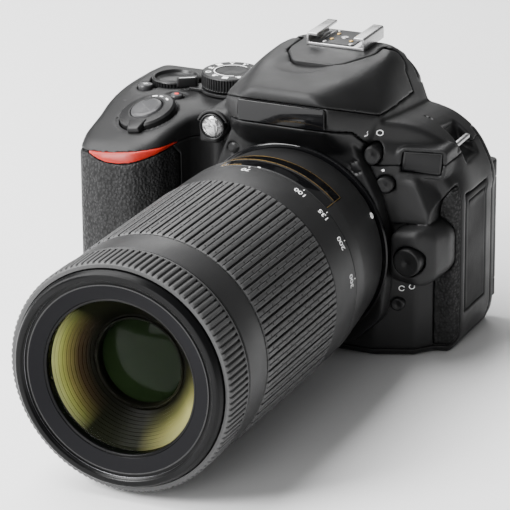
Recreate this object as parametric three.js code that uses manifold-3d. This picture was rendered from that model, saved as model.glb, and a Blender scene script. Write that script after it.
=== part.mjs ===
// A digital single-lens reflex camera with a telephoto zoom lens, in millimetres.
// +Z is up, the lens points along -Y and +X is the connector side.
// The origin is on the base plane, below the centre of the image sensor.
import * as THREE from "three";
import { ConvexGeometry } from "three/addons/geometries/ConvexGeometry.js";
import { mergeVertices } from "three/addons/utils/BufferGeometryUtils.js";
import Module from "manifold-3d";

const wasm = await Module();
wasm.setup();

// ---------- Driving dimensions ----------
const AXIS_Z = 37.7; // lens axis above the base
const FLANGE_Y = -46.5; // lens flange, 46.5 in front of the sensor
const GRIP_X = -74; // outer face on the grip side
const PORT_X = 50.5; // outer face on the connector side
const REAR_Y = 8; // rear face beside the monitor
const BASE_TOP_Z = 2.6; // top of the base cover
const TOP_SEAM_Z = 65.4; // seam between front and top covers
const PLATE_Z = 73.5; // top plate beside the prism
const HUMP_Z = 92.4; // top of the prism housing
const WALL = 2; // casing wall
const GAP = 0.35; // seam and running clearance
const LENS_R = 36; // largest radius of the lens
const LENS_LENGTH = 125; // flange to front rim
const FRONT_Y = FLANGE_Y - LENS_LENGTH;
const ROUND = 32; // facets round the lens

// ---------- Helpers ----------
function solidOf(geometry) {
  const plain = geometry.index ? geometry.toNonIndexed() : geometry.clone();
  const bare = new THREE.BufferGeometry().setAttribute("position", plain.getAttribute("position"));
  const merged = mergeVertices(bare, 1e-4);
  return new wasm.Manifold(
    new wasm.Mesh({
      numProp: 3,
      vertProperties: merged.attributes.position.array,
      triVerts: new Uint32Array(merged.index.array),
    }),
  );
}

const join = (...solids) => solids.reduce((a, b) => a.add(b));
const common = (...solids) => solids.reduce((a, b) => a.intersect(b));
const cut = (solid, ...tools) => tools.reduce((a, b) => a.subtract(b), solid);

function geometryOf(solid) {
  const mesh = solid.getMesh();
  const points = new Float32Array(mesh.numVert * 3);
  for (let i = 0; i < mesh.numVert; i++) {
    points.set(mesh.vertProperties.subarray(i * mesh.numProp, i * mesh.numProp + 3), i * 3);
  }
  return new THREE.BufferGeometry()
    .setAttribute("position", new THREE.BufferAttribute(points, 3))
    .setIndex(new THREE.BufferAttribute(mesh.triVerts, 1));
}

function box(x0, x1, y0, y1, z0, z1) {
  const g = new THREE.BoxGeometry(x1 - x0, y1 - y0, z1 - z0);
  return solidOf(g.translate((x0 + x1) / 2, (y0 + y1) / 2, (z0 + z1) / 2));
}

// A closed outline from [u, v, fillet] corners, listed anticlockwise.
function outline(corners) {
  const shape = new THREE.Shape();
  corners.forEach(([u, v, fillet = 0], i) => {
    const here = new THREE.Vector2(u, v);
    const [bu, bv] = corners[(i + corners.length - 1) % corners.length];
    const [au, av] = corners[(i + 1) % corners.length];
    const before = new THREE.Vector2(bu, bv).sub(here);
    const after = new THREE.Vector2(au, av).sub(here);
    const reach = Math.min(fillet, before.length() * 0.49, after.length() * 0.49);
    const start = here.clone().add(before.setLength(reach));
    const end = here.clone().add(after.setLength(reach));
    if (i === 0) shape.moveTo(start.x, start.y);
    else shape.lineTo(start.x, start.y);
    if (reach > 0) shape.quadraticCurveTo(u, v, end.x, end.y);
  });
  shape.closePath();
  return shape;
}

// The same corners moved inwards by an inset.
function shrink(corners, inset) {
  return corners.map(([u, v, fillet = 0], i) => {
    const [bu, bv] = corners[(i + corners.length - 1) % corners.length];
    const [au, av] = corners[(i + 1) % corners.length];
    const n0 = new THREE.Vector2(bv - v, u - bu).normalize();
    const n1 = new THREE.Vector2(v - av, au - u).normalize();
    const mid = n0.clone().add(n1);
    const scale = (2 * inset) / mid.lengthSq();
    return [u + mid.x * scale, v + mid.y * scale, Math.max(0, fillet - inset * 0.5)];
  });
}

function extruded(corners, depth, steps = 2) {
  const options = { depth, bevelEnabled: false, curveSegments: steps };
  return new THREE.ExtrudeGeometry(outline(corners), options);
}

// Corners in X and Y, from z0 to z1.
const prismZ = (corners, z0, z1, steps) =>
  solidOf(extruded(corners, z1 - z0, steps).translate(0, 0, z0));
// Corners in X and Z, from y0 to y1.
const prismY = (corners, y0, y1, steps) =>
  solidOf(extruded(corners, y1 - y0, steps).rotateX(Math.PI / 2).translate(0, y1, 0));
// Corners in Y and Z, from x0 to x1.
const prismX = (corners, x0, x1, steps) =>
  solidOf(
    extruded(corners, x1 - x0, steps)
      .rotateX(Math.PI / 2)
      .rotateZ(Math.PI / 2)
      .translate(x0, 0, 0),
  );

// A turned solid from [radius, height] points about +Z. The profile runs upwards on the outside.
function turned(points, sides = 28) {
  const profile = points.map(([r, h]) => new THREE.Vector2(r, h));
  return solidOf(new THREE.LatheGeometry(profile, sides).rotateX(Math.PI / 2));
}

// A turned solid about the lens axis, from [radius, y] points. The profile runs forwards on the outside.
function lensTurned(points, sides = ROUND) {
  const profile = points.map(([r, y]) => new THREE.Vector2(r, -y));
  return solidOf(new THREE.LatheGeometry(profile, sides).rotateX(Math.PI).translate(0, 0, AXIS_Z));
}

const tube = (outer, inner, y0, y1, sides) =>
  lensTurned([[inner, y1], [outer, y1], [outer, y0], [inner, y0], [inner, y1]], sides);
const disc = (r, z0, z1, sides) => turned([[0, z0], [r, z0], [r, z1], [0, z1]], sides);
const hull = (points) => solidOf(new ConvexGeometry(points.map((p) => new THREE.Vector3(...p))));
const mirrored = (points) => points.flatMap(([x, y, z]) => [[x, y, z], [-x, y, z]]);
const along = (solid, x, y, z) => solid.translate([x, y, z]);
const facingFront = (solid, x, y, z) => solid.rotate([90, 0, 0]).translate([x, y, z]);
const facingRear = (solid, x, y, z) => solid.rotate([-90, 0, 0]).translate([x, y, z]);

const camera = new THREE.Group();

const looks = {
  shell: { color: 0x2b2b2c, roughness: 0.55, metalness: 0 },
  panel: { color: 0x151516, roughness: 0.5, metalness: 0 },
  leatherette: { color: 0x202021, roughness: 0.85, metalness: 0 },
  accent: { color: 0xb5241c, roughness: 0.35, metalness: 0 },
  control: { color: 0x1c1c1d, roughness: 0.4, metalness: 0 },
  barrel: { color: 0x2e2e2f, roughness: 0.5, metalness: 0 },
  lens_rubber: { color: 0x262626, roughness: 0.8, metalness: 0 },
  gloss: { color: 0x0b0b0c, roughness: 0.12, metalness: 0 },
  steel: { color: 0xb9babb, roughness: 0.3, metalness: 1 },
  glass: { color: 0x5c6b3a, roughness: 0.03, metalness: 0, transparent: true, opacity: 0.4 },
  mirror: { color: 0xd8dde0, roughness: 0.03, metalness: 1 },
  board: { color: 0x1f4a2c, roughness: 0.6, metalness: 0 },
  battery: { color: 0x3a3a3c, roughness: 0.5, metalness: 0 },
};

function add(name, solid, look, parent = camera) {
  const mesh = new THREE.Mesh(geometryOf(solid), new THREE.MeshStandardMaterial(looks[look]));
  mesh.name = name;
  parent.add(mesh);
  return mesh;
}

// ---------- Outlines of the casing ----------
// Front view, in X and Z.
const FRONT_OUTLINE = [
  [-71, 0, 3], [46.5, 0, 2], [PORT_X, 8, 5], [PORT_X, 51.5, 7], [44.5, 61.8, 6], [35, 69.3, 6],
  [25, 71.8, 3], [-26, PLATE_Z, 2], [-69, PLATE_Z, 3], [-73.2, 70.5, 4], [GRIP_X, 60, 4], [GRIP_X, 8, 6],
];
// Plan view without the grip, in X and Y.
const PLAN_OUTLINE = [
  [GRIP_X, 2, 5], [GRIP_X, -30, 3], [-60, -32, 3], [-32, -32, 4], [-25, -39.6, 4], [26, -39.6, 4],
  [38.5, -34.6, 5], [43, -28.8, 3], [48, -27.6, 3], [PORT_X, -23, 4], [PORT_X, 5, 3], [47.5, REAR_Y, 4],
  [-69, REAR_Y, 5],
];
// Plan view of the grip, in X and Y.
const GRIP_OUTLINE = [
  [GRIP_X, -6, 0], [GRIP_X, -44, 7], [-71, -53.5, 7], [-62, -58, 6], [-52, -57.6, 7], [-44.5, -50.5, 8],
  [-39.5, -38, 6], [-34, -28, 3], [-34, -6, 0],
];
// Side view of the grip, in Y and Z, listed anticlockwise.
const GRIP_SIDE = [
  [-55.5, 0, 4], [0, 0, 0], [0, PLATE_Z + 9, 0], [-45, 74, 5], [-53.5, 66, 6], [-58.3, 60, 6],
  [-58.6, 30, 10],
];
// The prism housing is the convex form round these points, given for one half.
const HUMP_HALF = [
  [15, -54, 88], [16.2, -54, 79.4], [15, -52.4, 77.6], [17, -46, 74], [24, -41, 71], [28.6, -36.5, 81.4],
  [19.6, -24, 92], [20, -7, HUMP_Z], [15.5, 2, HUMP_Z], [22.5, 7.4, 83.5], [27, 7.6, 71],
  [20, -36, 60], [24, 6, 60],
];
const HUMP_CENTRE = [0, -24, 78];
const HUMP_REACH = [28.6, 31, 14];
// The shoulder on the connector side falls away to the rear.
const SHOULDER = [
  [10, -38, 79.5], [27, -38, 80.2], [34.5, -33.5, 78.6], [41.5, -29.5, 74.8], [45.4, -25.5, 70.6],
  [48, -22, 66], [50.3, -20, 58], [10, 5, 74], [33, 6, 73], [41.4, 5.4, 69], [45.5, 5, 65.6],
  [47.8, 5, 62.2], [50.3, 4, 57], [27, -36, 52], [43, -27, 52], [50.3, -20, 50], [50.3, 4, 50],
  [27, 6, 52],
];
const SHOULDER_CENTRE = [30, -15, 65];
const SHOULDER_REACH = [20, 20, 14];

// The shutter button and its ring sit on a tilted facet of the grip.
const POWER_RING = [-55, -36.6, 70.9];
const POWER_TILT = new THREE.Vector3(-0.17, -0.28, 0.94).normalize();
const ringTurn = new THREE.Quaternion().setFromUnitVectors(new THREE.Vector3(0, 0, 1), POWER_TILT);
const ringPose = new THREE.Matrix4().makeRotationFromQuaternion(ringTurn).setPosition(...POWER_RING);
const toRing = (solid) => solid.transform(ringPose.elements.slice());

// The outer form of the casing, or with an inset the space inside it.
function casing(inset) {
  const front = prismY(shrink(FRONT_OUTLINE, inset), -70, 20);
  const block = prismZ(shrink(PLAN_OUTLINE, inset), -10, 90);
  const grip = common(
    prismZ(shrink(GRIP_OUTLINE, inset), -10, 90),
    prismX(shrink(GRIP_SIDE, inset), -90, 0),
  );
  const facet = toRing(box(-200, 200, -200, 200, -200, -inset));
  const towards = (points, centre, reach) =>
    points.map((p) => p.map((v, i) => centre[i] + ((v - centre[i]) * (reach[i] - inset)) / reach[i]));
  const hump = hull(towards(mirrored(HUMP_HALF), HUMP_CENTRE, HUMP_REACH));
  const shoulder = hull(towards(SHOULDER, SHOULDER_CENTRE, SHOULDER_REACH));
  return join(common(join(block, grip), front, facet), hump, shoulder);
}

// ---------- Places of the controls ----------
const MODE_DIAL = { x: -37, y: -10.4, r: 10.2, z0: 75.3, z1: 80.4 };
const COMMAND_DIAL = { x: -58.5, y: -8.5, r: 8.1, z0: 70.9, z1: 75.4 };
const EXPOSURE = { x: -65.4, y: -17.4, r: 2.5 };
const MOVIE = { x: -51.5, y: -22.6, r: 2.3 };
const AF_LAMP = { x: -28.5, z: 72.4, r: 4.1, y: -43 };
const RELEASE = { x: 39.4, z: 36.2, r: 4.6, y: -45.4 };
const FLASH_BUTTON = { x: 25.7, z: 69.2, r: 2.3 };
const FN_BUTTON = { x: 29.4, z: 59.2, r: 2.6 };
const TIMER_BUTTON = { x: 33.4, z: 18.6, r: 2.3 };
const TRIPOD = { x: 0, y: -22, r: 5.8 };
const SELECTOR = { x: -53, z: 34, r: 9.6 };
const REAR_BUTTONS = {
  menu_button: { x: 27.5, z: 62.2, r: 2.7 },
  playback_button: { x: -41.5, z: 55, r: 2.7 },
  zoom_in_button: { x: -45, z: 13.5, r: 2.7 },
  zoom_out_button: { x: -54, z: 13.5, r: 2.7 },
  delete_button: { x: -63, z: 13.5, r: 2.7 },
};

// ---------- Pockets and recesses ----------
// The badge plate, its corners in X, Y and Z.
const BADGE_FACE = [[33.3, -35.4, 63.2], [34.1, -35.4, 70], [45.9, -30.4, 69.2], [45.2, -30.4, 61.5]];
const BADGE_DEPTH = 3;
const badge = (g) => {
  const [bl, tl, tr, br] = BADGE_FACE;
  const face = [
    [bl[0] - g, bl[1], bl[2] - g],
    [tl[0] - g, tl[1], tl[2] + g],
    [tr[0] + g, tr[1], tr[2] + g],
    [br[0] + g, br[1], br[2] - g],
  ];
  const near = face.map(([x, y, z]) => [x, y - g * 20, z]);
  const far = face.map(([x, y, z]) => [x, y + BADGE_DEPTH + g, z]);
  return hull([...near, ...far]);
};
// The swelling behind the lens release button, in X and Y.
const RELEASE_OUTLINE = [
  [33, -30, 0], [33, -43.6, 1], [42, -43.8, 4], [47, -39, 4], [49, -31, 3], [48.6, -26, 1], [40, -26, 0],
];
const RELEASE_FRONT = [[30, 29, 0], [44, 27, 3], [52, 32, 4], [52, 42, 4], [44, 47, 3], [31, 45, 0]];
const releaseSwell = (grow) =>
  common(prismZ(shrink(RELEASE_OUTLINE, -grow), 20, 50), prismY(shrink(RELEASE_FRONT, -grow), -60, 0));
// The housing of the autofocus lamp, in X and Z.
const LAMP_FRONT = [
  [-34, 66, 0], [-27.6, 66, 0], [-23.4, 72, 0], [-20, 78.4, 2], [-30, 78, 4], [-34.4, 73, 4],
];
const lampHousing = (grow) => prismY(shrink(LAMP_FRONT, -grow), AF_LAMP.y - grow, -16);
// The housing round the eyepiece, in X and Z.
const EYEPIECE_FRONT = [[-19, 70, 1], [19, 70, 1], [17.5, 88.5, 4], [-17.5, 88.5, 4]];

// The port cover, in Y and Z on the connector side.
const PORT = { y0: -21.6, y1: -4, z0: 13, z1: 53, depth: 1.8 };
// The card door, in Y and Z on the grip side.
const CARD = { y0: -21, y1: -4, z0: 16, z1: 55, depth: 1.8 };
// The battery door, in X and Y under the grip.
const BATTERY_DOOR = [
  [-71, -8, 2], [-71, -48, 5], [-65, -54, 4], [-53, -54, 5], [-46.4, -45, 4], [-46.4, -8, 1],
];
// The monitor lies in this recess of the rear face, in X and Z.
const SCREEN = { x0: -33, x1: 60, y: 4.6, z0: 6.6, z1: 57 };
// The strap recess in the shoulder, in X and Z, and in Y.
const STRAP = { y0: -16.4, y1: -4.6 };
const STRAP_FRONT = [[41, 85, 0], [39, 71, 0], [41.6, 63.6, 2], [47, 61.8, 1], [60, 64, 0], [60, 85, 0]];
// The seat of the mode dial in the side of the prism housing.
const dialRoom = (grow) =>
  along(disc(MODE_DIAL.r + 0.6 + grow, PLATE_Z - grow, 99, 24), MODE_DIAL.x, MODE_DIAL.y, 0);

const doorPocket = (x0, x1, door, g) => box(x0, x1, door.y0 - g, door.y1 + g, door.z0 - g, door.z1 + g);
const portPocket = (g) => doorPocket(PORT_X - PORT.depth - g, 60, PORT, g);
const cardPocket = (g) => doorPocket(-90, GRIP_X + CARD.depth + g, CARD, g);
const batteryPocket = (g) => prismZ(shrink(BATTERY_DOOR, -g), -5, 20);
const strapRecess = (g) => prismY(shrink(STRAP_FRONT, -g), STRAP.y0 - g, STRAP.y1 + g);

// ---------- Casing shells ----------
const body = cut(
  join(
    casing(0),
    releaseSwell(0),
    prismY(EYEPIECE_FRONT, 0, 9.6),
    lampHousing(0),
  ),
  dialRoom(0),
  strapRecess(0),
  box(SCREEN.x0, SCREEN.x1, SCREEN.y, 40, SCREEN.z0, SCREEN.z1),
);
const inside = cut(
  casing(WALL),
  dialRoom(WALL),
  strapRecess(WALL),
  box(SCREEN.x0 - WALL, 60, SCREEN.y - WALL, 40, SCREEN.z0 - WALL, SCREEN.z1 + WALL),
  // the floors behind the port cover and the card door stay solid
  box(PORT_X - 4, 60, PORT.y0 - 2, PORT.y1 + 2, PORT.z0 - 2, PORT.z1 + 2),
  box(-80, GRIP_X + 4, CARD.y0 - 2, CARD.y1 + 2, CARD.z0 - 2, CARD.z1 + 2),
  box(-20, 20, -60, -50.4, 70, 92),
);
const throat = tube(30.3, 0, -70, -30);

// ---------- Flash head ----------
const FLASH_HINGE = { y: -5.2, z: 89.6, r: 2.8, sweep: 0.75 };
// The head is the part of the prism housing above this line, in Y and Z.
const FLASH_LINE = [
  [-60, 89.4], [-54.2, 87.4], [-36.5, 81.2], [FLASH_HINGE.y, 79.4], [FLASH_HINGE.y, 99], [-60, 99],
];
// The block under the accessory shoe, in X and Y.
const SHOE_BLOCK = [
  [-14.2, 20, 0], [-14.2, -16, 4], [-9, -22.6, 5], [9, -22.6, 5], [14.2, -16, 4], [14.2, 20, 0],
];
const shoeBlock = (grow) => prismZ(shrink(SHOE_BLOCK, -grow), 60, 99);
const hingeRod = (grow) =>
  disc(FLASH_HINGE.r + grow, -40, 40, 20)
    .rotate([0, 90, 0])
    .translate([0, FLASH_HINGE.y, FLASH_HINGE.z]);
const flashSpace = (grow) =>
  cut(join(prismX(shrink(FLASH_LINE, -grow), -40, 40), hingeRod(grow)), shoeBlock(-grow));
// Room behind the hinge for the edge of the head, which swings over it.
const flashSweep = cut(hingeRod(FLASH_HINGE.sweep), shoeBlock(-GAP));
const flashFloor = prismX(FLASH_LINE.map(([y, z]) => [y, z + (z < 90 ? 1.9 : 0)]), -12.6, 12.6);
const flashWell = prismX(shrink(FLASH_LINE, -WALL - GAP), -40, 40);

const seamTop = (g) => box(-90, 90, -70, 20, TOP_SEAM_Z - g, 110);
const rearZone = (g) =>
  join(box(-90, 90, 1.4 - g, 20, 0, 67.6 + g), box(-23.4 - g, 23.4 + g, 3.4 - g, 20, 60, 89.6 + g));
const baseZone = (g) => box(-90, 90, -70, 20, -1, BASE_TOP_Z + g);

const frontHole = ({ x, z, r }, stretch = 1) =>
  disc(r + GAP, 0, 34, 14).scale([1, stretch, 1]).rotate([90, 0, 0]).translate([x, -26, z]);
const rearHole = ({ x, z, r }) => facingRear(disc(r + GAP, 0, 20, 14), x, 2, z);

// The rubber skins on the casing lie in shallow pockets, this deep.
const SKIN = 1;
const core = casing(SKIN);
const skinOf = (zone) => cut(common(casing(0), zone), core);
const gripZone = (g) =>
  prismX(
    shrink([[-70, 3.4], [-24, 3.4, 2], [-24, 56, 4], [-34, 60, 4], [-45, 60.2, 4], [-70, 58.6]], -g),
    -80,
    -41.5 + g,
  );
const accentZone = (g) =>
  hull([
    [-75, -49, 60 - g], [-75, -49, 61.6 + g], [-70, -60, 58.8 - g], [-70, -60, 62.2 + g],
    [-55, -62, 58.4 - g], [-55, -62, 63.4 + g], [-42, -60, 61.6 - g], [-41 + g, -60, 65 + g],
    [-41 + g, -44, 65 + g], [-42, -44, 63.4 - g], [-60, -44, 60 - g], [-60, -44, 62.4 + g],
  ]);
const sideZone = (g) =>
  common(
    box(42.6 - g, 60, -40, -24 + g, 3.4 - g, 59.5 + g),
    prismY(shrink([[40, 3], [60, 3], [60, 60], [50, 60], [43.6, 52], [42, 30]], -g), -40, -20),
  );

const THUMB_FRONT = [[-72, 44], [-58, 44, 4], [-52, 52, 4], [-50, 62, 3], [-72, 62]];
const thumbZone = (g) => prismY(shrink(THUMB_FRONT, -g), 4, 20);
const skinPocket = (zone) => cut(zone, casing(SKIN + 0.35));

add(
  "front_cover",
  cut(
    cut(body, inside),
    seamTop(GAP),
    rearZone(GAP),
    baseZone(GAP),
    throat,
    portPocket(GAP),
    cardPocket(GAP),
    skinPocket(gripZone(GAP)),
    skinPocket(sideZone(GAP)),
    skinPocket(accentZone(GAP)),
    frontHole(RELEASE),
    frontHole(FN_BUTTON),
    frontHole(TIMER_BUTTON),
    badge(GAP),
  ),
  "shell",
);

const topTools = [
  rearZone(GAP),
  flashSpace(GAP),
  flashSweep,
  throat,
  along(disc(2.8, 60, 90, 10), MODE_DIAL.x, MODE_DIAL.y, 0),
  along(disc(COMMAND_DIAL.r + 0.5, COMMAND_DIAL.z0 - GAP, 90, 20), COMMAND_DIAL.x, COMMAND_DIAL.y, 0),
  along(disc(2.2, 60, 90, 16), COMMAND_DIAL.x, COMMAND_DIAL.y, 0),
  ...[EXPOSURE, MOVIE].map((b) => along(disc(b.r + GAP, 60, 90, 14), b.x, b.y, 0)),
  toRing(disc(10.1, -1.2, 20, 24)),
  toRing(disc(3.4, -12, 2, 12)),
  frontHole(FLASH_BUTTON, 1.35),
  facingFront(disc(AF_LAMP.r + GAP, 0, 10, 20), AF_LAMP.x, AF_LAMP.y + 2, AF_LAMP.z),
  box(-15.2, 15.2, -60, -52.6, 79.4, 86.9),
  badge(GAP),
];
add("top_cover", cut(common(body, seamTop(0)), cut(inside, flashWell), ...topTools), "shell");

const rearTools = [
  ...Object.values(REAR_BUTTONS).map(rearHole),
  facingRear(disc(SELECTOR.r + 0.6, 0, 20, 24), SELECTOR.x, 2, SELECTOR.z),
  box(-9.4, 9.4, -2, 20, 73.6, 84.6),
  skinPocket(thumbZone(GAP)),
];
add("rear_cover", cut(common(body, rearZone(0)), inside, baseZone(GAP), ...rearTools), "shell");

add(
  "base_cover",
  cut(
    common(body, baseZone(0)),
    batteryPocket(GAP),
    along(disc(TRIPOD.r + GAP, -5, 9), TRIPOD.x, TRIPOD.y, 0),
  ),
  "shell",
);

// The flash head is open below, where its window lies.
const WINDOW = { x: 12.2, y0: -49.4, y1: -38.6 };
const lineZ = (y) => 81.2 - ((y + 36.5) * 6.2) / 17.7;
const windowBlock = (g) =>
  prismX(
    [
      [WINDOW.y0 - g, lineZ(WINDOW.y0) - 2 * g + 0.2],
      [WINDOW.y1 + g, lineZ(WINDOW.y1) - 2 * g + 0.2],
      [WINDOW.y1 + g, lineZ(WINDOW.y1) + 1.4 + 4 * g],
      [WINDOW.y0 - g, lineZ(WINDOW.y0) + 1.4 + 4 * g],
    ],
    -WINDOW.x - g,
    WINDOW.x + g,
  );
const flashRoom = cut(common(inside, flashFloor), box(-40, 40, FLASH_HINGE.y - 5, 20, 60, 99));
add("flash_head", cut(common(body, flashSpace(0)), flashRoom, windowBlock(GAP)), "shell");
add("flash_window", windowBlock(0), "glass");
add("grip_rubber", cut(skinOf(gripZone(0)), accentZone(GAP), cardPocket(GAP)), "leatherette");
add("side_rubber", skinOf(sideZone(0)), "leatherette");
add("thumb_rubber", skinOf(thumbZone(0)), "leatherette");
add("grip_accent", skinOf(accentZone(0)), "accent");

// ---------- Plates on the front ----------
add("name_plate", box(-14.8, 14.8, -53.9, -52.95, 79.8, 86.5), "gloss");
add("badge_plate", badge(0), "gloss");
const PANEL_FRONT = [
  [-31, 16, 9], [-20, 5.5, 9], [20, 5.5, 9], [31, 16, 9], [33.2, 38, 8], [29, 56, 6], [23.6, 66.5, 3],
  [20.6, 74.6, 3], [-20.6, 74.6, 3], [-26.8, 60.5, 6], [-33.6, 44, 8], [-34, 34, 8],
];
add(
  "mount_panel",
  cut(prismY(PANEL_FRONT, -45.4, -39.95), throat, casing(-GAP), releaseSwell(GAP), lampHousing(GAP)),
  "panel",
);

// ---------- Doors ----------
add("port_door", common(casing(0), portPocket(0)), "leatherette");
add("card_door", common(casing(0), cardPocket(0)), "shell");
const doorLayer = box(-90, 0, -70, 20, 0.15, BASE_TOP_Z - GAP);
add("battery_door", common(casing(0), batteryPocket(0), doorLayer), "shell");

// ---------- Metal fittings ----------
const RAIL = { outer: 10.2, inner: 9.3, lip: 6.3, y0: -10.6, y1: 6.2, z0: 92.75 };
const LIP_Z = 95.8; // underside of the lips, 2.1 above the floor
const rail = [
  [RAIL.outer, RAIL.z0], [RAIL.outer, 97], [RAIL.lip, 97], [RAIL.lip, LIP_Z], [RAIL.inner, LIP_Z],
  [RAIL.inner, 93.7], [-RAIL.inner, 93.7], [-RAIL.inner, LIP_Z], [-RAIL.lip, LIP_Z], [-RAIL.lip, 97],
  [-RAIL.outer, 97], [-RAIL.outer, RAIL.z0],
];
add("hot_shoe", prismY(rail, RAIL.y0, RAIL.y1), "steel");
const SOCKET = [[0, 4.4], [3.2, 4.4], [3.2, 0.2], [TRIPOD.r, 0.2], [TRIPOD.r, 6.4], [0, 6.4]];
add("tripod_socket", along(turned(SOCKET, 24), TRIPOD.x, TRIPOD.y, 0), "steel");
const barEnds = (y) => [[43.2, y, 68.2], [45.2, y, 68.2], [45.2, y, 66.2], [43.2, y, 66.2]];
add("strap_lug_right", hull([...barEnds(STRAP.y0 + GAP), ...barEnds(STRAP.y1 - GAP)]), "steel");
add(
  "strap_lug_left",
  cut(
    prismX([[-21, 63.4, 2], [-13, 63.4, 2], [-13, 71, 2], [-21, 71, 2]], -76.2, -74.4),
    prismX([[-19, 65.4, 1], [-15, 65.4, 1], [-15, 69, 1], [-19, 69, 1]], -80, -70),
  ),
  "steel",
);
add("body_mount_ring", tube(29.9, 23.6, -46.4, -41.2, 32), "steel");

// ---------- Inside the body ----------
// A box open at the front and the rear, with its outer and inner half width and heights.
const frameY = (x, z0, z1, y0, y1, ix, iz0, iz1) =>
  cut(box(-x, x, y0, y1, z0, z1), box(-ix, ix, y0 - 1, y1 + 1, iz0, iz1));
const screenPort = box(-15.5, 15.5, -36, -8, 50, 60);
add("mirror_box", cut(frameY(18.4, 21.6, 54.4, -39, -4.4, 17, 23, 53), screenPort), "panel");
const REFLEX = { y: -8.4, z: 51.2, length: 29 };
const reflexPlate = box(-14.6, 14.6, -REFLEX.length, 0, -1, 0).rotate([45, 0, 0]);
add("reflex_mirror", along(reflexPlate, 0, REFLEX.y, REFLEX.z), "mirror");
add(
  "pentamirror",
  prismX([[-36, 56], [-9, 56], [-3, 62], [-3, 70], [-10, 76], [-26, 76.6], [-36, 68]], -14, 14),
  "glass",
);
add("shutter_unit", frameY(20, 20, 56, -4, -1.2, 12, 29.4, 45.8), "panel");
add("image_sensor", box(-15, 15, -0.8, 0.85, 26, 49.4), "gloss");
add("main_board", box(-27, 27, 1.25, 2.2, 14, 54), "board");
add("battery", box(-66, -52, -46, -8, 3.4, 54), "battery");

// ---------- Controls on top ----------
const knurledDisc = (r, z0, z1, teeth, depth) => {
  const rim = new THREE.Shape();
  for (let i = 0; i < teeth * 2; i++) {
    const a = (i * Math.PI) / teeth;
    const radius = i % 2 ? r : r - depth;
    if (i === 0) rim.moveTo(radius, 0);
    else rim.lineTo(radius * Math.cos(a), radius * Math.sin(a));
  }
  rim.closePath();
  const options = { depth: z1 - z0, bevelEnabled: false };
  return solidOf(new THREE.ExtrudeGeometry(rim, options).translate(0, 0, z0));
};
const { x: mx, y: my } = MODE_DIAL;
add(
  "mode_dial",
  along(
    join(
      knurledDisc(MODE_DIAL.r, MODE_DIAL.z0 + 0.4, MODE_DIAL.z1 - 0.6, 22, 0.5),
      disc(MODE_DIAL.r - 1, MODE_DIAL.z0, MODE_DIAL.z1, 22),
      disc(2.4, 66, MODE_DIAL.z0 + 1, 10),
    ),
    mx,
    my,
    0,
  ),
  "control",
);
add(
  "live_view_lever",
  cut(
    join(
      along(disc(10.4, PLATE_Z + GAP, MODE_DIAL.z0 - GAP, 28), mx, my, 0),
      hull([
        ...[[-45, -8], [-50.8, -14.4], [-49.8, -17], [-43.6, -17.4]].flatMap(([x, y]) => [
          [x, y, PLATE_Z + GAP], [x, y, MODE_DIAL.z0 - GAP],
        ]),
      ]),
      hull(
        [[-47.6, -15.4], [-53.2, -18.6], [-54.2, -17.2], [-50.4, -12.9], [-48.4, -11.8]].flatMap(([x, y]) => [
          [x, y, 74.8], [x, y, 78],
        ]),
      ),
    ),
    along(disc(2.8, 60, 90, 10), mx, my, 0),
    along(disc(MODE_DIAL.r + GAP, MODE_DIAL.z0 - GAP, 90, 28), mx, my, 0),
  ),
  "control",
);
add(
  "command_dial",
  along(
    join(
      knurledDisc(COMMAND_DIAL.r, COMMAND_DIAL.z0, COMMAND_DIAL.z1 - 0.5, 18, 0.5),
      disc(COMMAND_DIAL.r - 0.9, COMMAND_DIAL.z0 + 1, COMMAND_DIAL.z1, 18),
      disc(1.85, 64, COMMAND_DIAL.z0 + 1, 12),
    ),
    COMMAND_DIAL.x,
    COMMAND_DIAL.y,
    0,
  ),
  "control",
);
const RING = [[6.1, -0.85], [9.6, -0.85], [9.6, 1.6], [8.6, 2.4], [6.1, 2.4], [6.1, -0.85]];
const ringBody = turned(RING, 24);
const ringLever = hull([
  [-2.6, -8, 0.5], [2.6, -8, 0.5], [-2, -12, 0.5], [2, -12, 0.5],
  [-2.6, -8, 2.3], [2.6, -8, 2.3], [-1.6, -12, 1.9], [1.6, -12, 1.9],
]);
add("power_ring", toRing(cut(join(ringBody, ringLever), disc(6.1, -5, 9, 24))), "control");
const shutterCap = turned([[0, -0.3], [4.9, -0.3], [4.9, 2], [4, 3], [0, 3.2]], 20);
add("shutter_button", toRing(join(shutterCap, disc(3, -10, 0.5, 12))), "control");
const topButton = ({ x, y, r }, top) =>
  along(turned([[0, 70.6], [r, 70.6], [r, top - 0.5], [r - 0.5, top], [0, top]], 14), x, y, 0);
add("exposure_button", topButton(EXPOSURE, 74.4), "control");
add("movie_button", topButton(MOVIE, 74.2), "control");

// ---------- Controls on the front ----------
const frontButton = ({ x, z, r }, y0, y1, stretch = 1) =>
  turned([[0, -y1], [r, -y1], [r, -y0 - 0.5], [r - 0.5, -y0], [0, -y0]], 14)
    .scale([1, stretch, 1])
    .rotate([90, 0, 0])
    .translate([x, 0, z]);
add("flash_button", frontButton(FLASH_BUTTON, -41.6, -36.4, 1.35), "control");
add("fn_button", frontButton(FN_BUTTON, -39.8, -34.6), "control");
add("timer_button", frontButton(TIMER_BUTTON, -38, -33), "control");
add("lens_release_button", frontButton(RELEASE, -45.4, -37), "control");
const lampLens = turned([[0, 0], [AF_LAMP.r, 0], [AF_LAMP.r, 2.2], [AF_LAMP.r - 1, 3.4], [0, 3.8]], 20);
add("af_lamp", facingFront(lampLens, AF_LAMP.x, AF_LAMP.y + 2 - GAP, AF_LAMP.z), "glass");

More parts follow.
